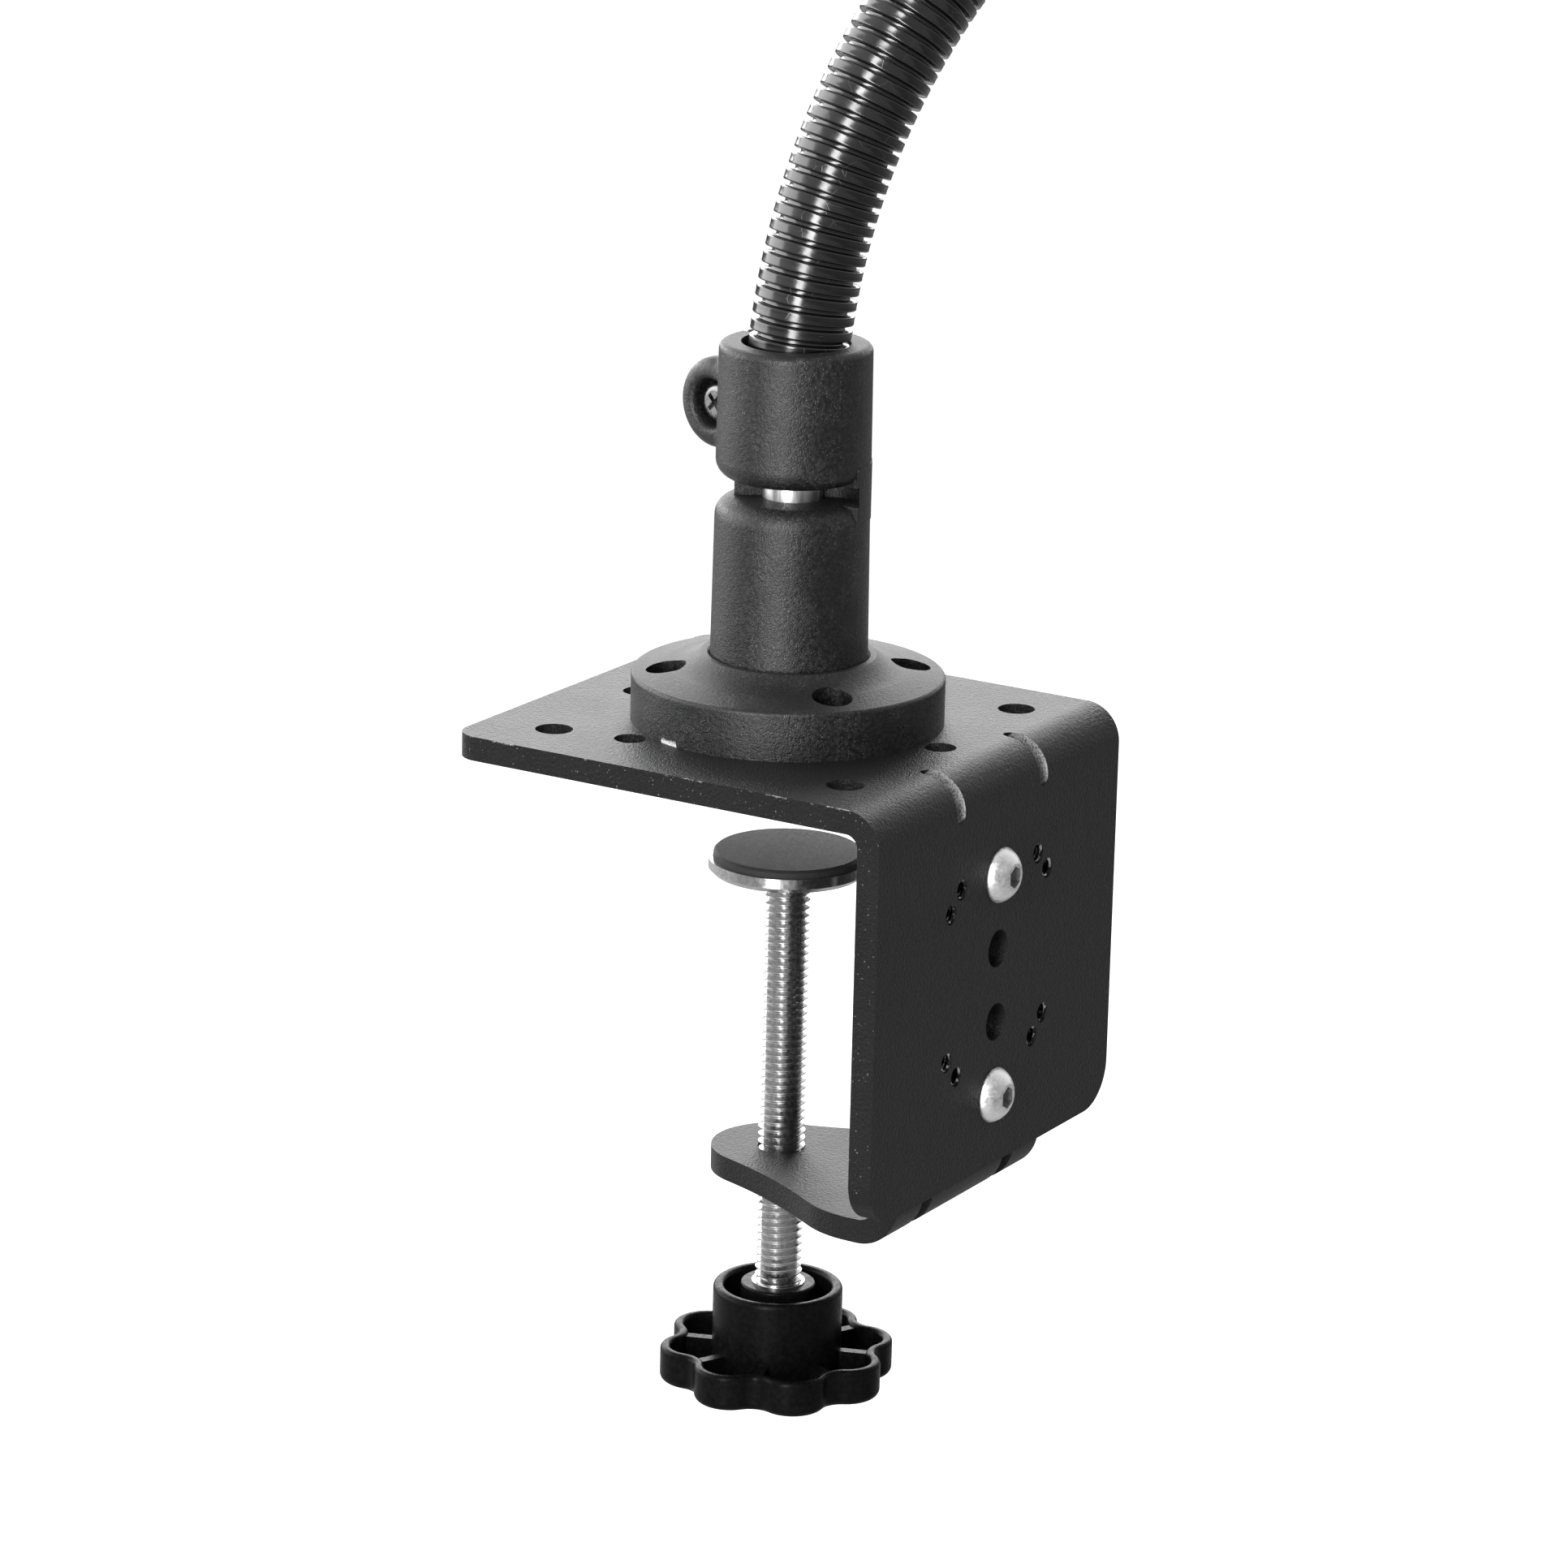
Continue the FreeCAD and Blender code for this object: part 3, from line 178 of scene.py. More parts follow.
def bump(tree, shader, height, strength, depth):
    node = addNode(tree, "ShaderNodeBump")
    node.inputs["Strength"].default_value = strength
    node.inputs["Distance"].default_value = depth * millimetre
    feed(tree, node.inputs["Height"], height)
    feed(tree, shader.inputs["Normal"], node.outputs["Normal"])


def axes(tree, place):
    node = addNode(tree, "ShaderNodeSeparateXYZ")
    feed(tree, node.inputs[0], place)
    return node.outputs


coatLook = {
    "dark": 0.009,
    "light": 0.016,
    "dustGrey": 0.3,
    "bare": 0.42,
    "chip": 0.16,
    "roughness": 0.44,
    "specular": 0.27,
    "cutSpecular": 0.12,
    "peelFine": 0.4,
    "peelCoarse": 0.75,
    "peelDepth": 0.28,
    "sidePlace": 47.25,
    "slitPlace": 16.3,
    "slitReach": 2.1,
    "slitTop": -12.0,
    "topLevel": 4.87,
    "holeReach": 40.0,
    "wallGrey": 0.045,
    "cutRoughness": 0.44,
    "cloudSize": 14.0,
    "gritSize": 0.35,
    "chipSize": 5.0,
    "chipDepth": (0.5, 0.9),
    "chipScatter": 1.2,
    "dust": {"Scale": 300.0, "Share": 0.03, "Radius": 0.1},
    "sparkle": {"Scale": 2200.0, "Share": 0.35, "Radius": 0.5},
    "sparkleHeight": 0.6,
    "sideFacing": (0.75, 0.95),
    "uprightFacing": 0.3,
    "chipPatches": (0.5, 0.6),
    "wallPatches": (0.5, 0.64),
    "slitPatches": (0.4, 0.55),
    "roughSpread": 0.04,
}


# satin powder coat: pebbled skin, sparkling cut sides, paler walls in the two slits and worn top edges
def makePowderCoat():
    material, tree, shader, place = startMaterial("powder_coat")
    look = coatLook
    facing = axes(tree, addNode(tree, "ShaderNodeTexCoord").outputs["Normal"])
    x, y, z = axes(tree, place)
    across = math2(tree, "ABSOLUTE", x)
    peel = useGroup(tree, grain, Place=place, Fine=1 / (look["peelFine"] * millimetre),
                    Coarse=1 / (look["peelCoarse"] * millimetre))
    cloud = noise(tree, place, look["cloudSize"], 3)
    dust = useGroup(tree, specks, Place=place, **look["dust"])["Mask"]
    sparkle = useGroup(tree, specks, Place=place, **look["sparkle"])["Mask"]
    grit = noise(tree, place, look["gritSize"], 3)

    # the cut sides of the plate, and the walls of the two slits in its bend
    sideways = remap(tree, math2(tree, "ABSOLUTE", facing[0]), *look["sideFacing"])
    outer = math2(tree, "GREATER_THAN", across, look["sidePlace"] * millimetre)
    side = math2(tree, "MULTIPLY", sideways, outer)
    offSlit = math2(tree, "SUBTRACT", across, look["slitPlace"] * millimetre)
    offSlit = math2(tree, "ABSOLUTE", offSlit)
    nearSlit = math2(tree, "LESS_THAN", offSlit, look["slitReach"] * millimetre)
    aboveSlit = math2(tree, "GREATER_THAN", z, look["slitTop"] * millimetre)
    slit = math2(tree, "MULTIPLY", sideways, math2(tree, "MULTIPLY", nearSlit, aboveSlit))

    # bare chips along the top edges of the cut sides
    scatter = math2(tree, "MULTIPLY", grit, look["chipScatter"] * millimetre)
    rim = math2(tree, "ADD", math2(tree, "SUBTRACT", look["topLevel"] * millimetre, z), scatter)
    whole, gone = (depth * millimetre for depth in look["chipDepth"])
    rim = remap(tree, rim, whole, gone, 1.0, 0.0)
    patches = remap(tree, noise(tree, place, look["chipSize"], 2), *look["chipPatches"])
    chips = math2(tree, "MULTIPLY", math2(tree, "MULTIPLY", side, rim), patches)

    # the walls of the holes through the top plate
    upright = math2(tree, "LESS_THAN", math2(tree, "ABSOLUTE", facing[2]), look["uprightFacing"])
    inPlate = math2(tree, "MULTIPLY", math2(tree, "GREATER_THAN", z, 0.0),
                    math2(tree, "LESS_THAN", across, look["holeReach"] * millimetre))
    inPlate = math2(tree, "MULTIPLY", inPlate,
                    math2(tree, "GREATER_THAN", y, -look["holeReach"] * millimetre))
    wall = math2(tree, "MULTIPLY", math2(tree, "MULTIPLY", upright, inPlate),
                 remap(tree, grit, *look["wallPatches"]))

    base = mixColour(tree, cloud, grey(look["dark"]), grey(look["light"]))
    base = mixColour(tree, math2(tree, "MULTIPLY", sparkle, side), base, grey(look["chip"]))
    base = mixColour(tree, chips, base, grey(look["bare"]))
    worn = remap(tree, grit, *look["slitPatches"])
    worn = mixColour(tree, worn, grey(look["chip"]), grey(look["bare"]))
    base = mixColour(tree, slit, base, worn)
    base = mixColour(tree, wall, base, grey(look["wallGrey"]))
    base = mixColour(tree, dust, base, grey(look["dustGrey"]))
    feed(tree, shader.inputs["Base Color"], base)
    smoothest, roughest = (look["roughness"] + change * look["roughSpread"] for change in (-1, 1))
    rough = mixValue(tree, cloud, smoothest, roughest)
    feed(tree, shader.inputs["Roughness"], mixValue(tree, sideways, rough, look["cutRoughness"]))
    feed(tree, shader.inputs["Specular IOR Level"],
         mixValue(tree, sideways, look["specular"], look["cutSpecular"]))
    raised = math2(tree, "MULTIPLY", sparkle, sideways)
    raised = math2(tree, "MULTIPLY", raised, look["sparkleHeight"])
    bump(tree, shader, math2(tree, "ADD", peel["Height"], raised), 1.0, look["peelDepth"])
    return material


nylonLook = {
    "dark": 0.004,
    "light": 0.024,
    "fleck": 0.16,
    "roughness": 0.4,
    "topRoughness": 0.57,
    "specular": 0.55,
    "depth": 0.11,
    "partingAzimuth": 2.0,
    "partingLevel": 19.0,
    "partingWidth": 0.14,
    "partingGrey": 0.03,
    "chipPlace": (-29.8, 9.1, 4.9),
    "chipReach": 3.1,
    "chipHeight": 5.95,
    "chipGrey": 0.8,
    "dotPlace": (-31.15, -0.2, 10.49),
    "dotRadius": 1.1,
    "dotWidth": 0.18,
    "wornPlace": (-12.4, -8.7, 80.9),
    "wornReach": 1.3,
    "wornGrey": 0.07,
    "skinFine": 0.28,
    "skinCoarse": 0.8,
    "patchSize": 8.0,
    "gritSize": 0.6,
    "gritDepth": 1.6,
    "markHeight": 1.2,
    "flecks": {"Scale": 3400.0, "Share": 0.45, "Radius": 0.36},
    "patches": (0.38, 0.66),
    "mottleShare": (0.25, 0.75),
    "fleckShare": (0.3, 0.7),
    "roughSpread": (-0.07, 0.08),
    "topFacing": (0.55, 0.85),
    "chipFade": 0.1,
    "chipRise": 0.9,
    "wornFade": (-0.2, 0.3),
}


def farFrom(tree, place, centre):
    node = addNode(tree, "ShaderNodeVectorMath", operation="DISTANCE")
    feed(tree, node.inputs[0], place)
    node.inputs[1].default_value = Vector(centre) * millimetre
    return node.outputs["Value"]


# glass-filled nylon: a dull skin with fine pale flecks and cloudy patches where it filled the mould,
# a parting line up the post, a chipped foot, a round moulding mark and a worn spot on the collar's lip
def makeNylon():
    material, tree, shader, place = startMaterial("glass_nylon")
    look = nylonLook
    x, y, z = axes(tree, place)
    skin = useGroup(tree, grain, Place=place, Fine=1 / (look["skinFine"] * millimetre),
                    Coarse=1 / (look["skinCoarse"] * millimetre))
    fleck = useGroup(tree, specks, Place=place, **look["flecks"])["Mask"]
    patch = remap(tree, noise(tree, place, look["patchSize"], 4), *look["patches"])
    least, more = look["mottleShare"]
    strength = math2(tree, "ADD", least, math2(tree, "MULTIPLY", patch, more))
    mottle = math2(tree, "MULTIPLY", skin["Cloud"], strength)
    base = mixColour(tree, mottle, grey(look["dark"]), grey(look["light"]))
    least, more = look["fleckShare"]
    spread = math2(tree, "ADD", least, math2(tree, "MULTIPLY", patch, more))
    base = mixColour(tree, math2(tree, "MULTIPLY", fleck, spread), base, grey(look["fleck"]))

    # parting line of the mould, up the front of the post
    turn = math.radians(look["partingAzimuth"])
    offLine = math2(tree, "ADD", math2(tree, "MULTIPLY", x, math.cos(turn)),
                    math2(tree, "MULTIPLY", y, math.sin(turn)))
    width = look["partingWidth"] * millimetre
    parting = remap(tree, math2(tree, "ABSOLUTE", offLine), 0.0, width, 1.0, 0.0)
    parting = math2(tree, "MULTIPLY", parting, math2(tree, "LESS_THAN", y, 0.0))
    overBase = math2(tree, "GREATER_THAN", z, look["partingLevel"] * millimetre)
    parting = math2(tree, "MULTIPLY", parting, overBase)
    base = mixColour(tree, parting, base, grey(look["partingGrey"]))

    # chip at the foot of the round base
    grit = noise(tree, place, look["gritSize"], 3)
    grit = math2(tree, "MULTIPLY", grit, look["gritDepth"] * millimetre)
    nearChip = math2(tree, "ADD", farFrom(tree, place, look["chipPlace"]), grit)
    reach = look["chipReach"] * millimetre
    chip = remap(tree, nearChip, reach - look["chipFade"] * millimetre, reach, 1.0, 0.0)
    height = look["chipHeight"] * millimetre
    rise = look["chipRise"] * millimetre
    low = remap(tree, math2(tree, "ADD", z, grit), height, height + rise, 1.0, 0.0)
    base = mixColour(tree, math2(tree, "MULTIPLY", chip, low), base, grey(look["chipGrey"]))

    # worn spot on the front lip of the collar
    nearWorn = math2(tree, "ADD", farFrom(tree, place, look["wornPlace"]), grit)
    whole, gone = ((look["wornReach"] + fade) * millimetre for fade in look["wornFade"])
    worn = remap(tree, nearWorn, whole, gone, 1.0, 0.0)
    base = mixColour(tree, worn, base, grey(look["wornGrey"]))
    feed(tree, shader.inputs["Base Color"], base)

    # duller on faces that look up
    facing = axes(tree, addNode(tree, "ShaderNodeTexCoord").outputs["Normal"])
    smoothest, roughest = (look["roughness"] + change for change in look["roughSpread"])
    rough = mixValue(tree, skin["Cloud"], smoothest, roughest)
    upward = remap(tree, facing[2], *look["topFacing"])
    feed(tree, shader.inputs["Roughness"], mixValue(tree, upward, rough, look["topRoughness"]))
    shader.inputs["Specular IOR Level"].default_value = look["specular"]

    # round moulding mark on the side of the base
    ring = farFrom(tree, place, look["dotPlace"])
    ring = math2(tree, "SUBTRACT", ring, look["dotRadius"] * millimetre)
    ring = remap(tree, math2(tree, "ABSOLUTE", ring), 0.0, look["dotWidth"] * millimetre, 1.0, 0.0)
    marks = math2(tree, "MULTIPLY", math2(tree, "MAXIMUM", ring, parting), look["markHeight"])
    bump(tree, shader, math2(tree, "ADD", skin["Height"], marks), 1.0, look["depth"])
    return material


conduitLook = {
    "dark": 0.004,
    "light": 0.009,
    "scratch": 0.03,
    "smooth": 0.15,
    "dull": 0.28,
    "scratchRoughness": 0.5,
    "specular": 0.9,
    "streakSize": 5.0,
    "streaks": (0.35, 0.75),
    "scratchScale": 210.0,
    "scratchWidth": 0.012,
    "scratchPatch": 6.0,
    "scratched": (0.55, 0.62),
    "waveSize": 1.6,
    "waveStrength": 0.35,
    "depth": 0.03,
}


# glossy sleeve: drawn streaks, a few fine scratches and a slightly wavy skin
def makeConduit():
    material, tree, shader, place = startMaterial("gloss_conduit")
    look = conduitLook
    streaks = noise(tree, place, look["streakSize"], 5, 0.7)
    scratch = addNode(tree, "ShaderNodeTexVoronoi", feature="DISTANCE_TO_EDGE")
    feed(tree, scratch.inputs["Vector"], place)
    scratch.inputs["Scale"].default_value = look["scratchScale"]
    line = remap(tree, scratch.outputs["Distance"], 0.0, look["scratchWidth"], 1.0, 0.0)
    patches = remap(tree, noise(tree, place, look["scratchPatch"], 2), *look["scratched"])
    line = math2(tree, "MULTIPLY", line, patches)
    base = mixColour(tree, streaks, grey(look["dark"]), grey(look["light"]))
    feed(tree, shader.inputs["Base Color"], mixColour(tree, line, base, grey(look["scratch"])))
    rough = remap(tree, streaks, *look["streaks"], look["smooth"], look["dull"])
    feed(tree, shader.inputs["Roughness"], mixValue(tree, line, rough, look["scratchRoughness"]))
    shader.inputs["Specular IOR Level"].default_value = look["specular"]
    wave = noise(tree, place, look["waveSize"], 3)
    bump(tree, shader, math2(tree, "ADD", wave, line), look["waveStrength"], look["depth"])
    return material


metalLooks = {
    "satin_stainless": {"light": 0.4, "dark": 0.12, "roughness": 0.3, "grainSize": 0.7},
    "bright_zinc": {"light": 0.86, "dark": 0.34, "roughness": 0.2, "grainSize": 0.8, "depth": 0.04},
    "polished_aluminium": {"light": 0.96, "dark": 0.86, "roughness": 0.36, "grainSize": 0.9,
                           "along": 0.15},
}
metalGrain = {"lines": (0.3, 0.7), "roughShares": (0.75, 1.3), "strength": 0.3}


# bare metal with a fine grain, drawn out along the piece where "along" is less than one
def makeMetal(name, light, dark, roughness, grainSize, along=1.0, depth=0.02):
    material, tree, shader, place = startMaterial(name)
    lay = addNode(tree, "ShaderNodeMapping")
    feed(tree, lay.inputs["Vector"], place)
    lay.inputs["Scale"].default_value = (1.0, 1.0, along)
    lines = noise(tree, lay.outputs[0], grainSize, 5, 0.6)
    feed(tree, shader.inputs["Base Color"], mixColour(tree, lines, grey(dark), grey(light)))
    smoothest, roughest = (roughness * share for share in metalGrain["roughShares"])
    rough = remap(tree, lines, *metalGrain["lines"], smoothest, roughest)
    feed(tree, shader.inputs["Roughness"], rough)
    shader.inputs["Metallic"].default_value = 1.0
    bump(tree, shader, lines, metalGrain["strength"], depth)
    return material


satinLooks = {
    "black_oxide": {"base": 0.015, "roughness": 0.4, "grainSize": 0.8},
    "knob_plastic": {"base": 0.0045, "roughness": 0.32, "grainSize": 1.1, "specular": 0.06,
                     "dusty": 0.08},
    "rubber": {"base": 0.02, "roughness": 0.7, "grainSize": 0.6},
}
satinDust = {"Scale": 600.0, "Share": 0.03, "Radius": 0.12}
satinGrain = {
    "fineShare": 0.3,
    "greyShares": (0.8, 1.3),
    "roughSpread": (-0.05, 0.07),
    "strength": 0.5,
    "depth": 0.06,
}


# dark satin skin with a fine grain and a little dust
def makeSatin(name, base, roughness, grainSize, specular=0.5, dusty=0.2):
    material, tree, shader, place = startMaterial(name)
    fineSize = grainSize * satinGrain["fineShare"]
    skin = useGroup(tree, grain, Place=place, Fine=1 / (fineSize * millimetre),
                    Coarse=1 / (grainSize * millimetre))
    dust = useGroup(tree, specks, Place=place, **satinDust)["Mask"]
    darkest, lightest = (grey(base * share) for share in satinGrain["greyShares"])
    colour = mixColour(tree, skin["Cloud"], darkest, lightest)
    feed(tree, shader.inputs["Base Color"], mixColour(tree, dust, colour, grey(dusty)))
    smoothest, roughest = (roughness + change for change in satinGrain["roughSpread"])
    rough = mixValue(tree, skin["Cloud"], smoothest, roughest)
    feed(tree, shader.inputs["Roughness"], rough)
    shader.inputs["Specular IOR Level"].default_value = specular
    bump(tree, shader, skin["Height"], satinGrain["strength"], satinGrain["depth"])
    return material


boltLook = {
    "light": 1.0,
    "dark": 0.9,
    # painted shade: the grey that darkens the inside of the hexagon socket
    "socketShadeGrey": 0.5,
    "socketRadius": 2.32,
    "socketMouth": -52.72,
    "axisLevels": (-18.55, -64.0),
    "roughness": 0.38,
    "roughShares": (0.7, 1.4),
    "grainSize": 0.7,
    "mottle": (0.35, 0.6),
    "lines": (0.3, 0.7),
    "strength": 0.4,
    "depth": 0.03,
}


# stainless heads: a mottled dome, and painted shade that darkens the inside of the hexagon socket
def makeBoltSteel():
    material, tree, shader, place = startMaterial("bolt_stainless")
    look = boltLook
    x, y, z = axes(tree, place)
    lines = noise(tree, place, look["grainSize"], 5, 0.65)
    mottle = remap(tree, lines, *look["mottle"])
    base = mixColour(tree, mottle, grey(look["dark"]), grey(look["light"]))
    # painted shade: the colour inside the hexagon socket is darkened, standing in for the shade in the
    # recess
    offAxis = (math2(tree, "SUBTRACT", z, level * millimetre) for level in look["axisLevels"])
    rise = math2(tree, "MINIMUM", *(math2(tree, "ABSOLUTE", off) for off in offAxis))
    squares = (math2(tree, "MULTIPLY", part, part) for part in (x, rise))
    away = math2(tree, "SQRT", math2(tree, "ADD", *squares))
    nearAxis = math2(tree, "LESS_THAN", away, look["socketRadius"] * millimetre)
    behindMouth = math2(tree, "GREATER_THAN", y, look["socketMouth"] * millimetre)
    inside = math2(tree, "MULTIPLY", nearAxis, behindMouth)
    feed(tree, shader.inputs["Base Color"], mixColour(tree, inside, base, grey(look["socketShadeGrey"])))
    smoothest, roughest = (look["roughness"] * share for share in look["roughShares"])
    rough = remap(tree, lines, *look["lines"], smoothest, roughest)
    feed(tree, shader.inputs["Roughness"], rough)
    shader.inputs["Metallic"].default_value = 1.0
    bump(tree, shader, lines, look["strength"], look["depth"])
    return material


powderCoat = makePowderCoat()
boltSteel = makeBoltSteel()
nylon = makeNylon()
conduit = makeConduit()
stainless, brightZinc, aluminium = (makeMetal(name, **look) for name, look in metalLooks.items())
blackSteel, knobPlastic, rubber = (makeSatin(name, **look) for name, look in satinLooks.items())
print("materials made")

finishes = {
    "top_bracket": powderCoat,
    "foot_bracket": powderCoat,
    "upper_bolt": boltSteel,
    "lower_bolt": boltSteel,
    "base_flange": nylon,
    "flange_screw_1": blackSteel,
    "flange_screw_2": blackSteel,
    "flange_screw_3": blackSteel,
    "flange_screw_4": blackSteel,
    "arm_socket": nylon,
    "socket_screw": blackSteel,
    "socket_washer": brightZinc,
    "pinch_screw": stainless,
    "pinch_nut": stainless,
    "flex_rod": aluminium,
    "sheath": conduit,
    "clamp_screw": brightZinc,
    "knob": knobPlastic,
    "knob_insert": brightZinc,
    "pad_cup": brightZinc,
    "pad_face": rubber,
    "pad_washer": brightZinc,
}
for name, material in finishes.items():
    for slot in cadNodes[name].material_slots:
        slot.material = material


weldGap = 0.002  # corners nearer than this become one
joinGap = 0.01  # the same between the turns of a thread or the rings of the sleeve
sameLevel = 0.001  # corners within this are at one level


# short forms for modelling by operators
def selectOnly(piece):
    bpy.ops.object.select_all(action="DESELECT")
    piece.select_set(True)
    bpy.context.view_layer.objects.active = piece


def applyPlace():
    bpy.ops.object.transform_apply(location=True, rotation=True, scale=True)


def startLoop(radius, vertices, level=0.0, fill="NOTHING"):
    bpy.ops.object.select_all(action="DESELECT")
    bpy.ops.mesh.primitive_circle_add(vertices=vertices, radius=radius * millimetre, fill_type=fill,
                                      location=(0, 0, level * millimetre))
    applyPlace()
    return bpy.context.active_object


# carries the selected loop on through a list of (level, radius) and leaves the last one selected
def extrudeProfile(profile, level, radius):
    for nextLevel, nextRadius in profile:
        bpy.ops.mesh.extrude_region_move(
            TRANSFORM_OT_translate={"value": (0, 0, (nextLevel - level) * millimetre)})
        ratio = nextRadius / radius
        bpy.ops.transform.resize(value=(ratio, ratio, 1),
                                 center_override=(0, 0, nextLevel * millimetre))
        level, radius = nextLevel, nextRadius


def editAll():
    bpy.ops.object.mode_set(mode="EDIT")
    bpy.ops.mesh.select_all(action="SELECT")


def recalculate():
    bpy.ops.mesh.select_all(action="SELECT")
    bpy.ops.mesh.remove_doubles(threshold=weldGap * millimetre)
    bpy.ops.mesh.normals_make_consistent(inside=False)


def applyAll(piece):
    selectOnly(piece)
    for name in [modifier.name for modifier in piece.modifiers]:
        bpy.ops.object.modifier_apply(modifier=name)


# the finished piece keeps its place in its mesh, with the object at the origin
def finish(piece, name, material, body, sharpAngle, replaced=()):
    selectOnly(piece)
    applyPlace()
    piece.name = piece.data.name = name
    piece.data.materials.clear()
    piece.data.materials.append(material)
    bpy.ops.object.shade_smooth_by_angle(angle=math.radians(sharpAngle))
    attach(piece, body)
    if replaced:
        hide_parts(*replaced)
    print(name, len(piece.data.polygons), "faces")


# a screw thread: its ridge is drawn as one upright zigzag and turned into a helix
def threadRidge(root, crest, rootWidth, crestWidth, pitch, turns, steps, bottom):
    flank = (pitch - rootWidth - crestWidth) / 2
    bpy.ops.object.select_all(action="DESELECT")
    bpy.ops.mesh.primitive_plane_add(size=millimetre)
    ridge = bpy.context.active_object
    editAll()
    bpy.ops.mesh.merge(type="CENTER")
    bpy.ops.transform.translate(value=(root * millimetre, 0, bottom * millimetre))
    height = crest - root
    for outward, upward in ((0, rootWidth), (height, flank), (0, crestWidth), (-height, flank)):
        bpy.ops.mesh.extrude_region_move(
            TRANSFORM_OT_translate={"value": (outward * millimetre, 0, upward * millimetre)})
    bpy.ops.object.mode_set(mode="OBJECT")
    helix = ridge.modifiers.new("helix", "SCREW")
    helix.axis = "Z"
    helix.screw_offset = pitch * millimetre
    helix.iterations = turns
    helix.steps = helix.render_steps = steps
    helix.use_merge_vertices = True
    helix.merge_threshold = joinGap * millimetre
    applyAll(ridge)
    return ridge


def trimEnds(piece, bottom, top, close=True):
    selectOnly(piece)
    bpy.ops.object.mode_set(mode="EDIT")
    for level, isTop in ((bottom, False), (top, True)):
        bpy.ops.mesh.select_all(action="SELECT")
        bpy.ops.mesh.bisect(plane_co=(0, 0, level * millimetre), plane_no=(0, 0, 1), use_fill=close,
                            clear_inner=not isTop, clear_outer=isTop)
    recalculate()
    bpy.ops.object.mode_set(mode="OBJECT")


clampThread = {
    "pitch": 1.5875,
    "crest": 4.74,
    "root": 3.72,
    "crestWidth": 0.22,
    "rootWidth": 0.2,
    "steps": 48,
    "neckRadius": 3.0,
    "neckFaces": 32,
    "overlap": 1.0,
    "endGap": 0.1,
    "sharpAngle": 25,
}


def makeClampThread():
    shape = clampThread
    low, high = (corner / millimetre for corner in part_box("clamp_screw"))
    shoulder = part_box("pad_washer")[0].z / millimetre - shape["endGap"]
    turns = math.ceil((shoulder - low.z) / shape["pitch"]) + 2
    thread = threadRidge(shape["root"], shape["crest"], shape["rootWidth"], shape["crestWidth"],
                         shape["pitch"], turns, shape["steps"], low.z - shape["pitch"])
    trimEnds(thread, low.z + shape["endGap"] * 2, shoulder)
    startLoop(shape["neckRadius"], shape["neckFaces"], shoulder - shape["overlap"], "NGON")
    editAll()
    extrudeProfile([(high.z, shape["neckRadius"])], shoulder - shape["overlap"], shape["neckRadius"])
    recalculate()
    bpy.ops.object.mode_set(mode="OBJECT")
    thread.select_set(True)
    bpy.context.view_layer.objects.active = thread
    bpy.ops.object.join()
    thread.location.y = (low.y + high.y) / 2 * millimetre
    finish(thread, "clamp_thread", brightZinc, "screw",
           shape["sharpAngle"], ["clamp_screw"])


boreLook = {
    "black": 0.008,
    "bare": 0.6,
    "patch": 1.4,
    "rough": 0.24,
    "blackMetallic": 0.4,
    "patches": (0.5, 0.58),
    "gritSize": 0.3,
    "depth": 0.03,
}


# blackened thread, bare only where a screw has rubbed it
def makeBoredSteel():
    material, tree, shader, place = startMaterial("worn_thread")
    look = boreLook
    rubbed = remap(tree, noise(tree, place, look["patch"], 3), *look["patches"])
    base = mixColour(tree, rubbed, grey(look["black"]), grey(look["bare"]))
    feed(tree, shader.inputs["Base Color"], base)
    feed(tree, shader.inputs["Metallic"], mixValue(tree, rubbed, look["blackMetallic"], 1.0))
    shader.inputs["Roughness"].default_value = look["rough"]
    bump(tree, shader, noise(tree, place, look["gritSize"], 3), 0.5, look["depth"])
    return material


boredSteel = makeBoredSteel()
tappedHole = {
    "pitch": 0.8,
    "crest": 1.62,
    "root": 2.06,
    "crestWidth": 0.1,
    "rootWidth": 0.15,
    "steps": 28,
    "face": -49.42,
    "depth": 4.6,
    "inset": 0.15,
    "sharpAngle": 25,
    "middle": -37.0,
    "near": 15.085,
    "far": 19.05,
}


# worn threads in the eight small holes of the leg, four pairs round the middle of the leg
def makeTappedHoles():
    hole = tappedHole
    turns = math.ceil(hole["depth"] / hole["pitch"]) + 2
    ridge = threadRidge(hole["root"], hole["crest"], hole["rootWidth"], hole["crestWidth"],
                        hole["pitch"], turns, hole["steps"], -hole["pitch"])
    trimEnds(ridge, 0, hole["depth"], False)
    selectOnly(ridge)
    bpy.ops.transform.rotate(value=math.pi / 2, orient_axis="X", center_override=(0, 0, 0))
    applyPlace()
    inward = 1 if max(corner.co.y for corner in ridge.data.vertices) > millimetre else -1
    threads = []
    for across, rise in ((hole["near"], hole["far"]), (hole["far"], hole["near"])):
        for sideX in (-1, 1):
            for sideZ in (-1, 1):
                thread = ridge.copy()
                thread.data = ridge.data.copy()
                bpy.context.scene.collection.objects.link(thread)
                depth = hole["face"] + hole["inset"]
                if inward < 0:
                    depth += hole["depth"]
                level = hole["middle"] + rise * sideZ
                thread.location = Vector((across * sideX, depth, level)) * millimetre
                threads.append(thread)
    bpy.data.objects.remove(ridge)
    for index, thread in enumerate(threads, start=1):
        finish(thread, "leg_thread_%d" % index, boredSteel, "bracket",
               hole["sharpAngle"])


makeClampThread()
makeTappedHoles()


# the arm's sleeve: one ring is modelled, repeated in a row and bent
sleeveShape = {
    "faces": 80,
    "pitch": 3.1,
    "rings": 31,
    "bore": 7.2,
    "boreMargin": 0.1,
    "dip": 8.4,
    "bendRadius": 131.5,
    "bendLevel": 67.0,
    "bendAzimuth": -28.9,
    "firstDegrees": 5.2906,
    "boreCuts": 40,
    "sharpAngle": 35,
}
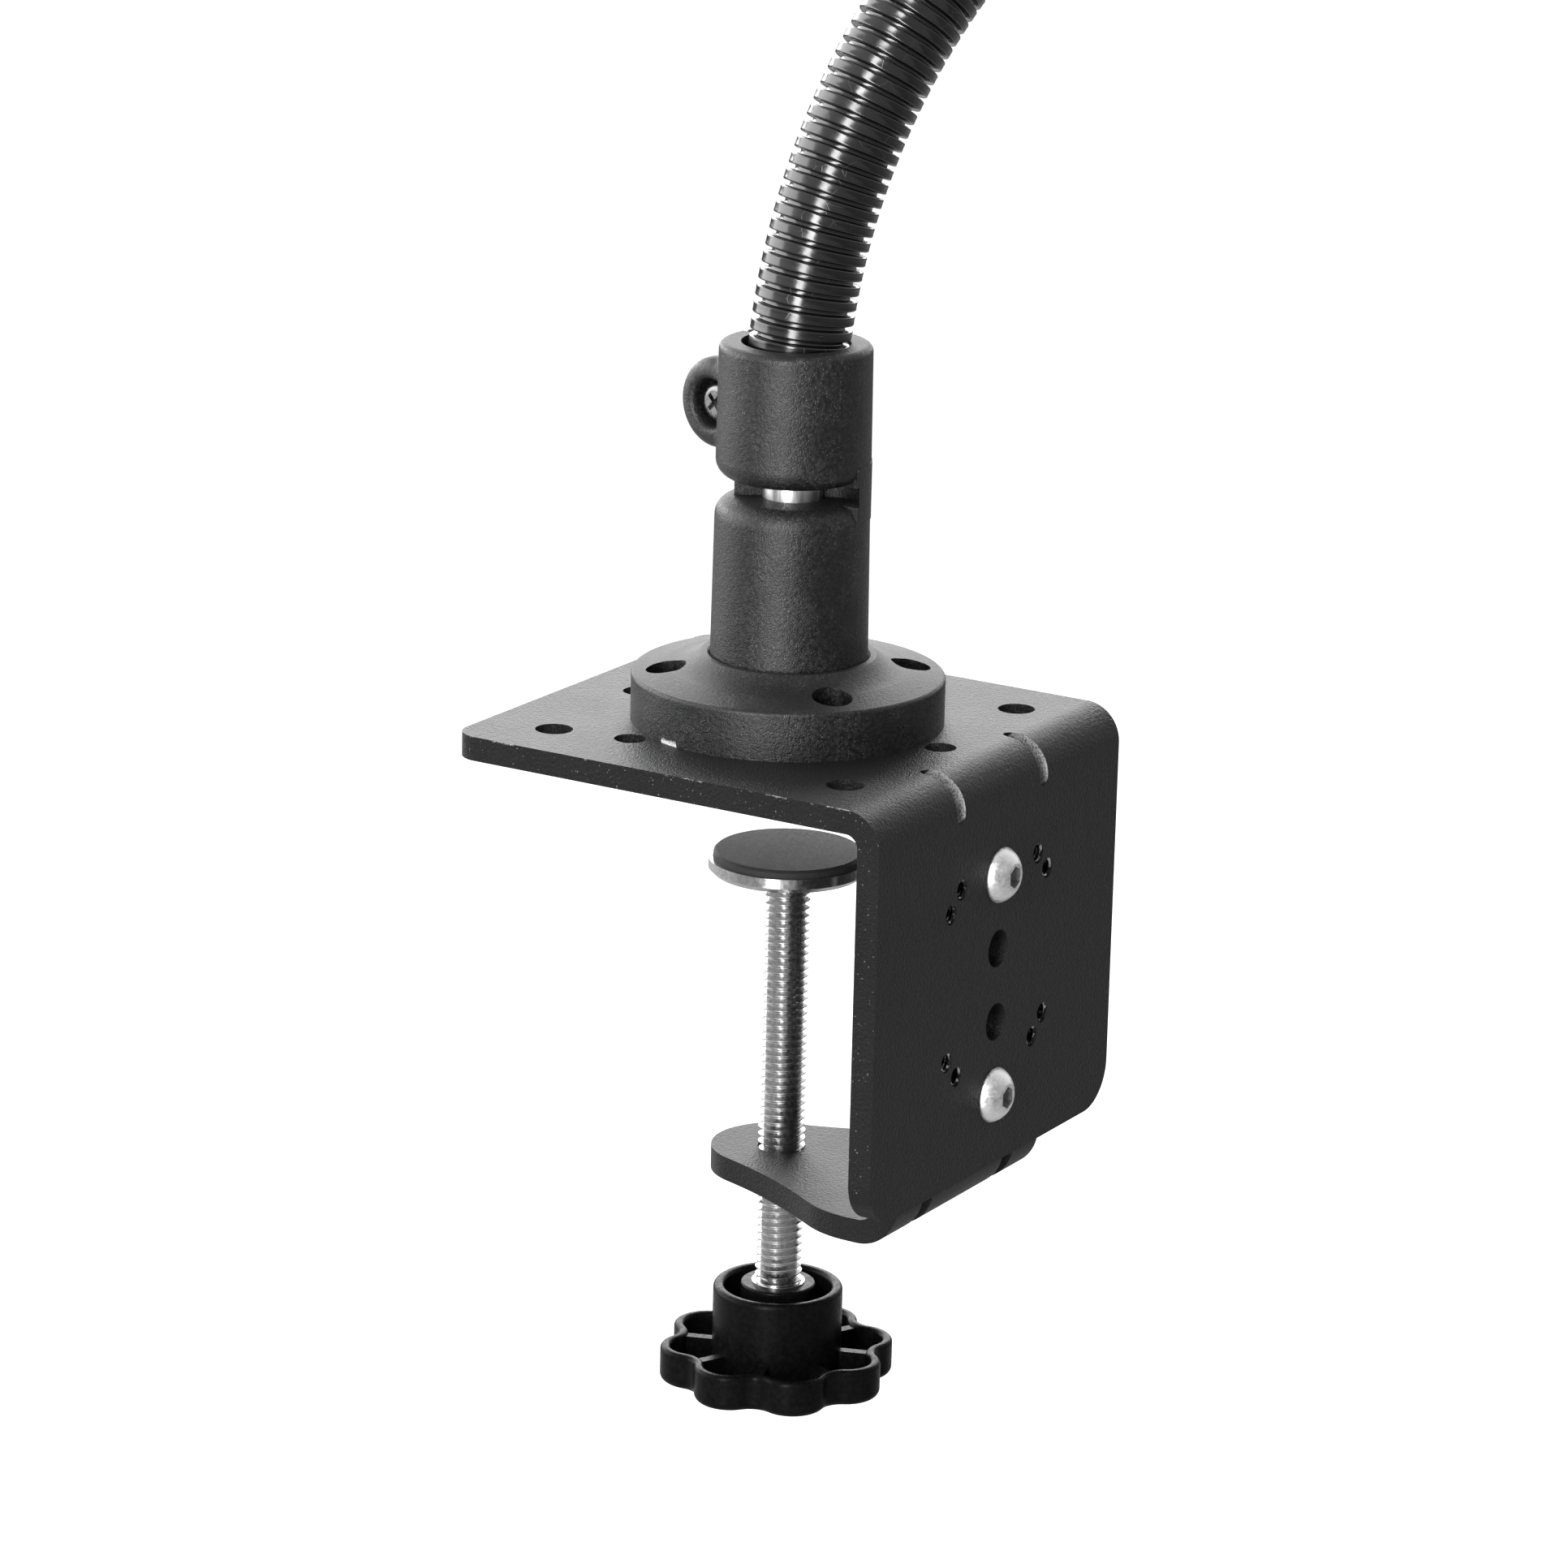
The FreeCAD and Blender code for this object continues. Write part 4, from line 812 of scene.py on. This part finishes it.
# one ring from the middle of a groove to the middle of the next, as (way along, radius)
ringProfile = [
    (0.24, 8.4), (0.36, 8.46), (0.44, 8.7), (0.48, 9.5), (0.52, 9.74), (0.6, 9.89), (0.72, 9.98),
    (0.86, 10.0), (1.1, 9.97), (2.0, 9.97), (2.24, 10.0), (2.38, 9.98), (2.5, 9.89), (2.58, 9.74),
    (2.62, 9.5), (2.66, 8.7), (2.74, 8.46), (2.86, 8.4), (3.1, 8.4),
]


def selectLevel(piece, level):
    bpy.ops.mesh.select_all(action="DESELECT")
    bpy.ops.object.mode_set(mode="OBJECT")
    for corner in piece.data.vertices:
        corner.select = abs(corner.co.z / millimetre - level) < sameLevel
    bpy.ops.object.mode_set(mode="EDIT")


def makeSleeve():
    shape = sleeveShape
    length = shape["pitch"] * shape["rings"]
    sleeve = startLoop(shape["dip"], shape["faces"])
    editAll()
    extrudeProfile(ringProfile, 0, shape["dip"])
    bpy.ops.object.mode_set(mode="OBJECT")
    row = sleeve.modifiers.new("rings", "ARRAY")
    row.count = shape["rings"]
    row.use_relative_offset = False
    row.use_constant_offset = True
    row.constant_offset_displace = (0, 0, shape["pitch"] * millimetre)
    row.use_merge_vertices = True
    row.merge_threshold = joinGap * millimetre
    applyAll(sleeve)
    bpy.ops.object.mode_set(mode="EDIT")
    for level in (0, length):
        selectLevel(sleeve, level)
        bpy.ops.mesh.extrude_region_move()
        ratio = shape["bore"] / shape["dip"]
        bpy.ops.transform.resize(value=(ratio, ratio, 1), center_override=(0, 0, level * millimetre))
    bpy.ops.mesh.select_all(action="DESELECT")
    bpy.ops.object.mode_set(mode="OBJECT")
    for corner in sleeve.data.vertices:
        corner.select = corner.co.xy.length < (shape["bore"] + shape["boreMargin"]) * millimetre
    bpy.ops.object.mode_set(mode="EDIT")
    bpy.ops.mesh.bridge_edge_loops(number_cuts=shape["boreCuts"])
    recalculate()
    first = shape["bendRadius"] * math.radians(shape["firstDegrees"])
    bpy.ops.transform.translate(value=(0, 0, first * millimetre))
    bpy.ops.object.mode_set(mode="OBJECT")
    bend = sleeve.modifiers.new("bend", "SIMPLE_DEFORM")
    bend.deform_method = "BEND"
    bend.deform_axis = "Y"
    bend.angle = length / shape["bendRadius"]
    applyAll(sleeve)
    sleeve.rotation_euler.z = math.radians(shape["bendAzimuth"])
    sleeve.location.z = shape["bendLevel"] * millimetre
    finish(sleeve, "corrugated_sleeve", conduit, "arm",
           shape["sharpAngle"], ["sheath"])


makeSleeve()


# the two button-head bolts
boltShape = {
    "faces": 48,
    "shank": 3.175,
    "shankEnd": -39.88,
    "face": -49.42,
    "socketFlats": 3.97,
    "socketDepth": 2.1,
    "top": 3.35,
    "sharpAngle": 32,
}
# from the seat over the dome to the flat round the socket, as (way out of the leg, radius)
headProfile = [
    (0.0, 5.42), (0.06, 5.5), (0.16, 5.56), (0.4, 5.56), (0.88, 5.353), (1.338, 5.096), (1.766, 4.797),
    (2.161, 4.457), (2.523, 4.075), (2.842, 3.662), (3.119, 3.22), (3.3, 2.86), (3.35, 2.72),
]


def makeBolt(name, height):
    shape = boltShape
    depth = shape["face"] - shape["shankEnd"]
    bolt = startLoop(shape["shank"], shape["faces"], depth, "NGON")
    editAll()
    extrudeProfile([(0.0, shape["shank"])] + headProfile, depth, shape["shank"])
    recalculate()
    bpy.ops.object.mode_set(mode="OBJECT")
    corner = shape["socketFlats"] / 2 / math.cos(math.pi / 6)
    bpy.ops.mesh.primitive_cylinder_add(vertices=6, radius=corner * millimetre,
                                        depth=shape["socketDepth"] * 2 * millimetre,
                                        location=(0, 0, shape["top"] * millimetre))
    cutter = bpy.context.active_object
    cut = bolt.modifiers.new("socket", "BOOLEAN")
    cut.object = cutter
    cut.operation = "DIFFERENCE"
    cut.solver = "EXACT"
    applyAll(bolt)
    bpy.data.objects.remove(cutter)
    bolt.rotation_euler.x = math.pi / 2
    bolt.location = Vector((0, shape["face"], height)) * millimetre
    finish(bolt, name + "_head", boltSteel, "bracket", shape["sharpAngle"], [name])


for name in ("upper_bolt", "lower_bolt"):
    low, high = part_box(name)
    makeBolt(name, (low.z + high.z) / 2 / millimetre)
print("pieces modelled")


# the camera stands where the photograph was taken from
cameraView = {
    "azimuth": -58.9898,
    "elevation": 16.3521,
    "roll": 1.3745,
    "across": -0.5496,
    "up": -8.2649,
    "distance": 1226.24,
    "focalPixels": 7612.34,
    "imagePixels": 1932,
    "sensor": 36.0,
    "clip": (0.05, 30.0),
}


def viewAxes(azimuth, elevation, roll=0.0):
    a, e, r = (math.radians(angle) for angle in (azimuth, elevation, roll))
    back = Vector((math.sin(a) * math.cos(e), -math.cos(a) * math.cos(e), math.sin(e)))
    across = Vector((0, 0, 1)).cross(back).normalized()
    up = back.cross(across)
    return (across * math.cos(r) + up * math.sin(r), up * math.cos(r) - across * math.sin(r), back)


def standAt(name, data, sides, place):
    thing = bpy.data.objects.new(name, data)
    bpy.context.scene.collection.objects.link(thing)
    thing.matrix_world = Matrix.Translation(place) @ Matrix(sides).transposed().to_4x4()
    return thing


def placeCamera():
    view = cameraView
    across, up, back = viewAxes(view["azimuth"], view["elevation"], view["roll"])
    centre = (across * view["across"] + up * view["up"] + back * view["distance"]) * millimetre
    data = bpy.data.cameras.new("camera")
    data.sensor_width = view["sensor"]
    data.lens = view["focalPixels"] * view["sensor"] / view["imagePixels"]
    data.clip_start, data.clip_end = view["clip"]
    bpy.context.scene.camera = standAt("camera", data, (across, up, back), centre)


# each lamp hangs at an azimuth and height round the object and faces its middle
lamps = {
    "strip": {"azimuth": -79.0, "elevation": 14.0, "distance": 1.15, "size": (0.3, 1.3), "power": 17.0},
    "left": {"azimuth": -168.0, "elevation": 14.0, "distance": 1.3, "size": (1.3, 1.1), "power": 13.0},
    "back": {"azimuth": 128.0, "elevation": 19.0, "distance": 1.6, "size": (1.9, 0.8), "power": 26.0},
}
room = {
    "floorDrop": 420.0,
    "floorSize": 14.0,
    "floorColour": 0.4,
    "floorGlow": 0.9,
    "diffuse": 0.25,
    "bright": 1.0,
    "dim": 0.36,
    "brightAzimuth": 150.0,
    "fade": (-0.7, 0.6),
    "mottleSize": 300.0,
    "mottle": 0.03,
    "floorRoughness": 0.9,
    "floorSpecular": 0.1,
}


def hangLamps():
    for name, lamp in lamps.items():
        sides = viewAxes(lamp["azimuth"], lamp["elevation"])
        data = bpy.data.lights.new(name, "AREA")
        data.shape = "RECTANGLE"
        data.size, data.size_y = lamp["size"]
        data.energy = lamp["power"]
        standAt(name, data, sides, sides[2] * lamp["distance"])


# the room is white to the camera, and dimmer on the camera's side where only the object reflects it
def paintWorld():
    world = bpy.data.worlds.new("room")
    bpy.context.scene.world = world
    world.use_nodes = True
    tree = world.node_tree
    background = tree.nodes["Background"]
    background.inputs["Color"].default_value = grey(1.0)
    rays = addNode(tree, "ShaderNodeLightPath").outputs
    heading = viewAxes(room["brightAzimuth"], 0.0)[2]
    facing = addNode(tree, "ShaderNodeVectorMath", operation="DOT_PRODUCT")
    feed(tree, facing.inputs[0], addNode(tree, "ShaderNodeTexCoord").outputs["Generated"])
    facing.inputs[1].default_value = heading
    mirrored = remap(tree, facing.outputs["Value"], *room["fade"], room["dim"], room["bright"])
    seen = math2(tree, "MAXIMUM", rays["Is Camera Ray"], rays["Is Transmission Ray"])
    level = mixValue(tree, rays["Is Glossy Ray"], room["diffuse"], mirrored)
    feed(tree, background.inputs["Strength"], mixValue(tree, seen, level, 1.0))


def layFloor():
    bpy.ops.object.select_all(action="DESELECT")
    bpy.ops.mesh.primitive_plane_add(size=room["floorSize"],
                                     location=(0, 0, -room["floorDrop"] * millimetre))
    floor = bpy.context.active_object
    applyPlace()
    floor.name = "floor"
    material, tree, shader, place = startMaterial("pale_floor")
    rays = addNode(tree, "ShaderNodeLightPath").outputs
    mottle = noise(tree, place, room["mottleSize"], 2)
    levels = (grey(room["floorColour"] + lift) for lift in (0.0, room["mottle"]))
    pale = mixColour(tree, mottle, *levels)
    feed(tree, shader.inputs["Base Color"], pale)
    shader.inputs["Roughness"].default_value = room["floorRoughness"]
    shader.inputs["Specular IOR Level"].default_value = room["floorSpecular"]
    shader.inputs["Emission Color"].default_value = grey(1.0)
    glow = math2(tree, "MULTIPLY", rays["Is Camera Ray"], room["floorGlow"])
    feed(tree, shader.inputs["Emission Strength"], glow)
    floor.data.materials.append(material)


placeCamera()
hangLamps()
paintWorld()
layFloor()
bpy.context.scene.view_settings.view_transform = "Standard"
print("camera, lamps and floor placed")
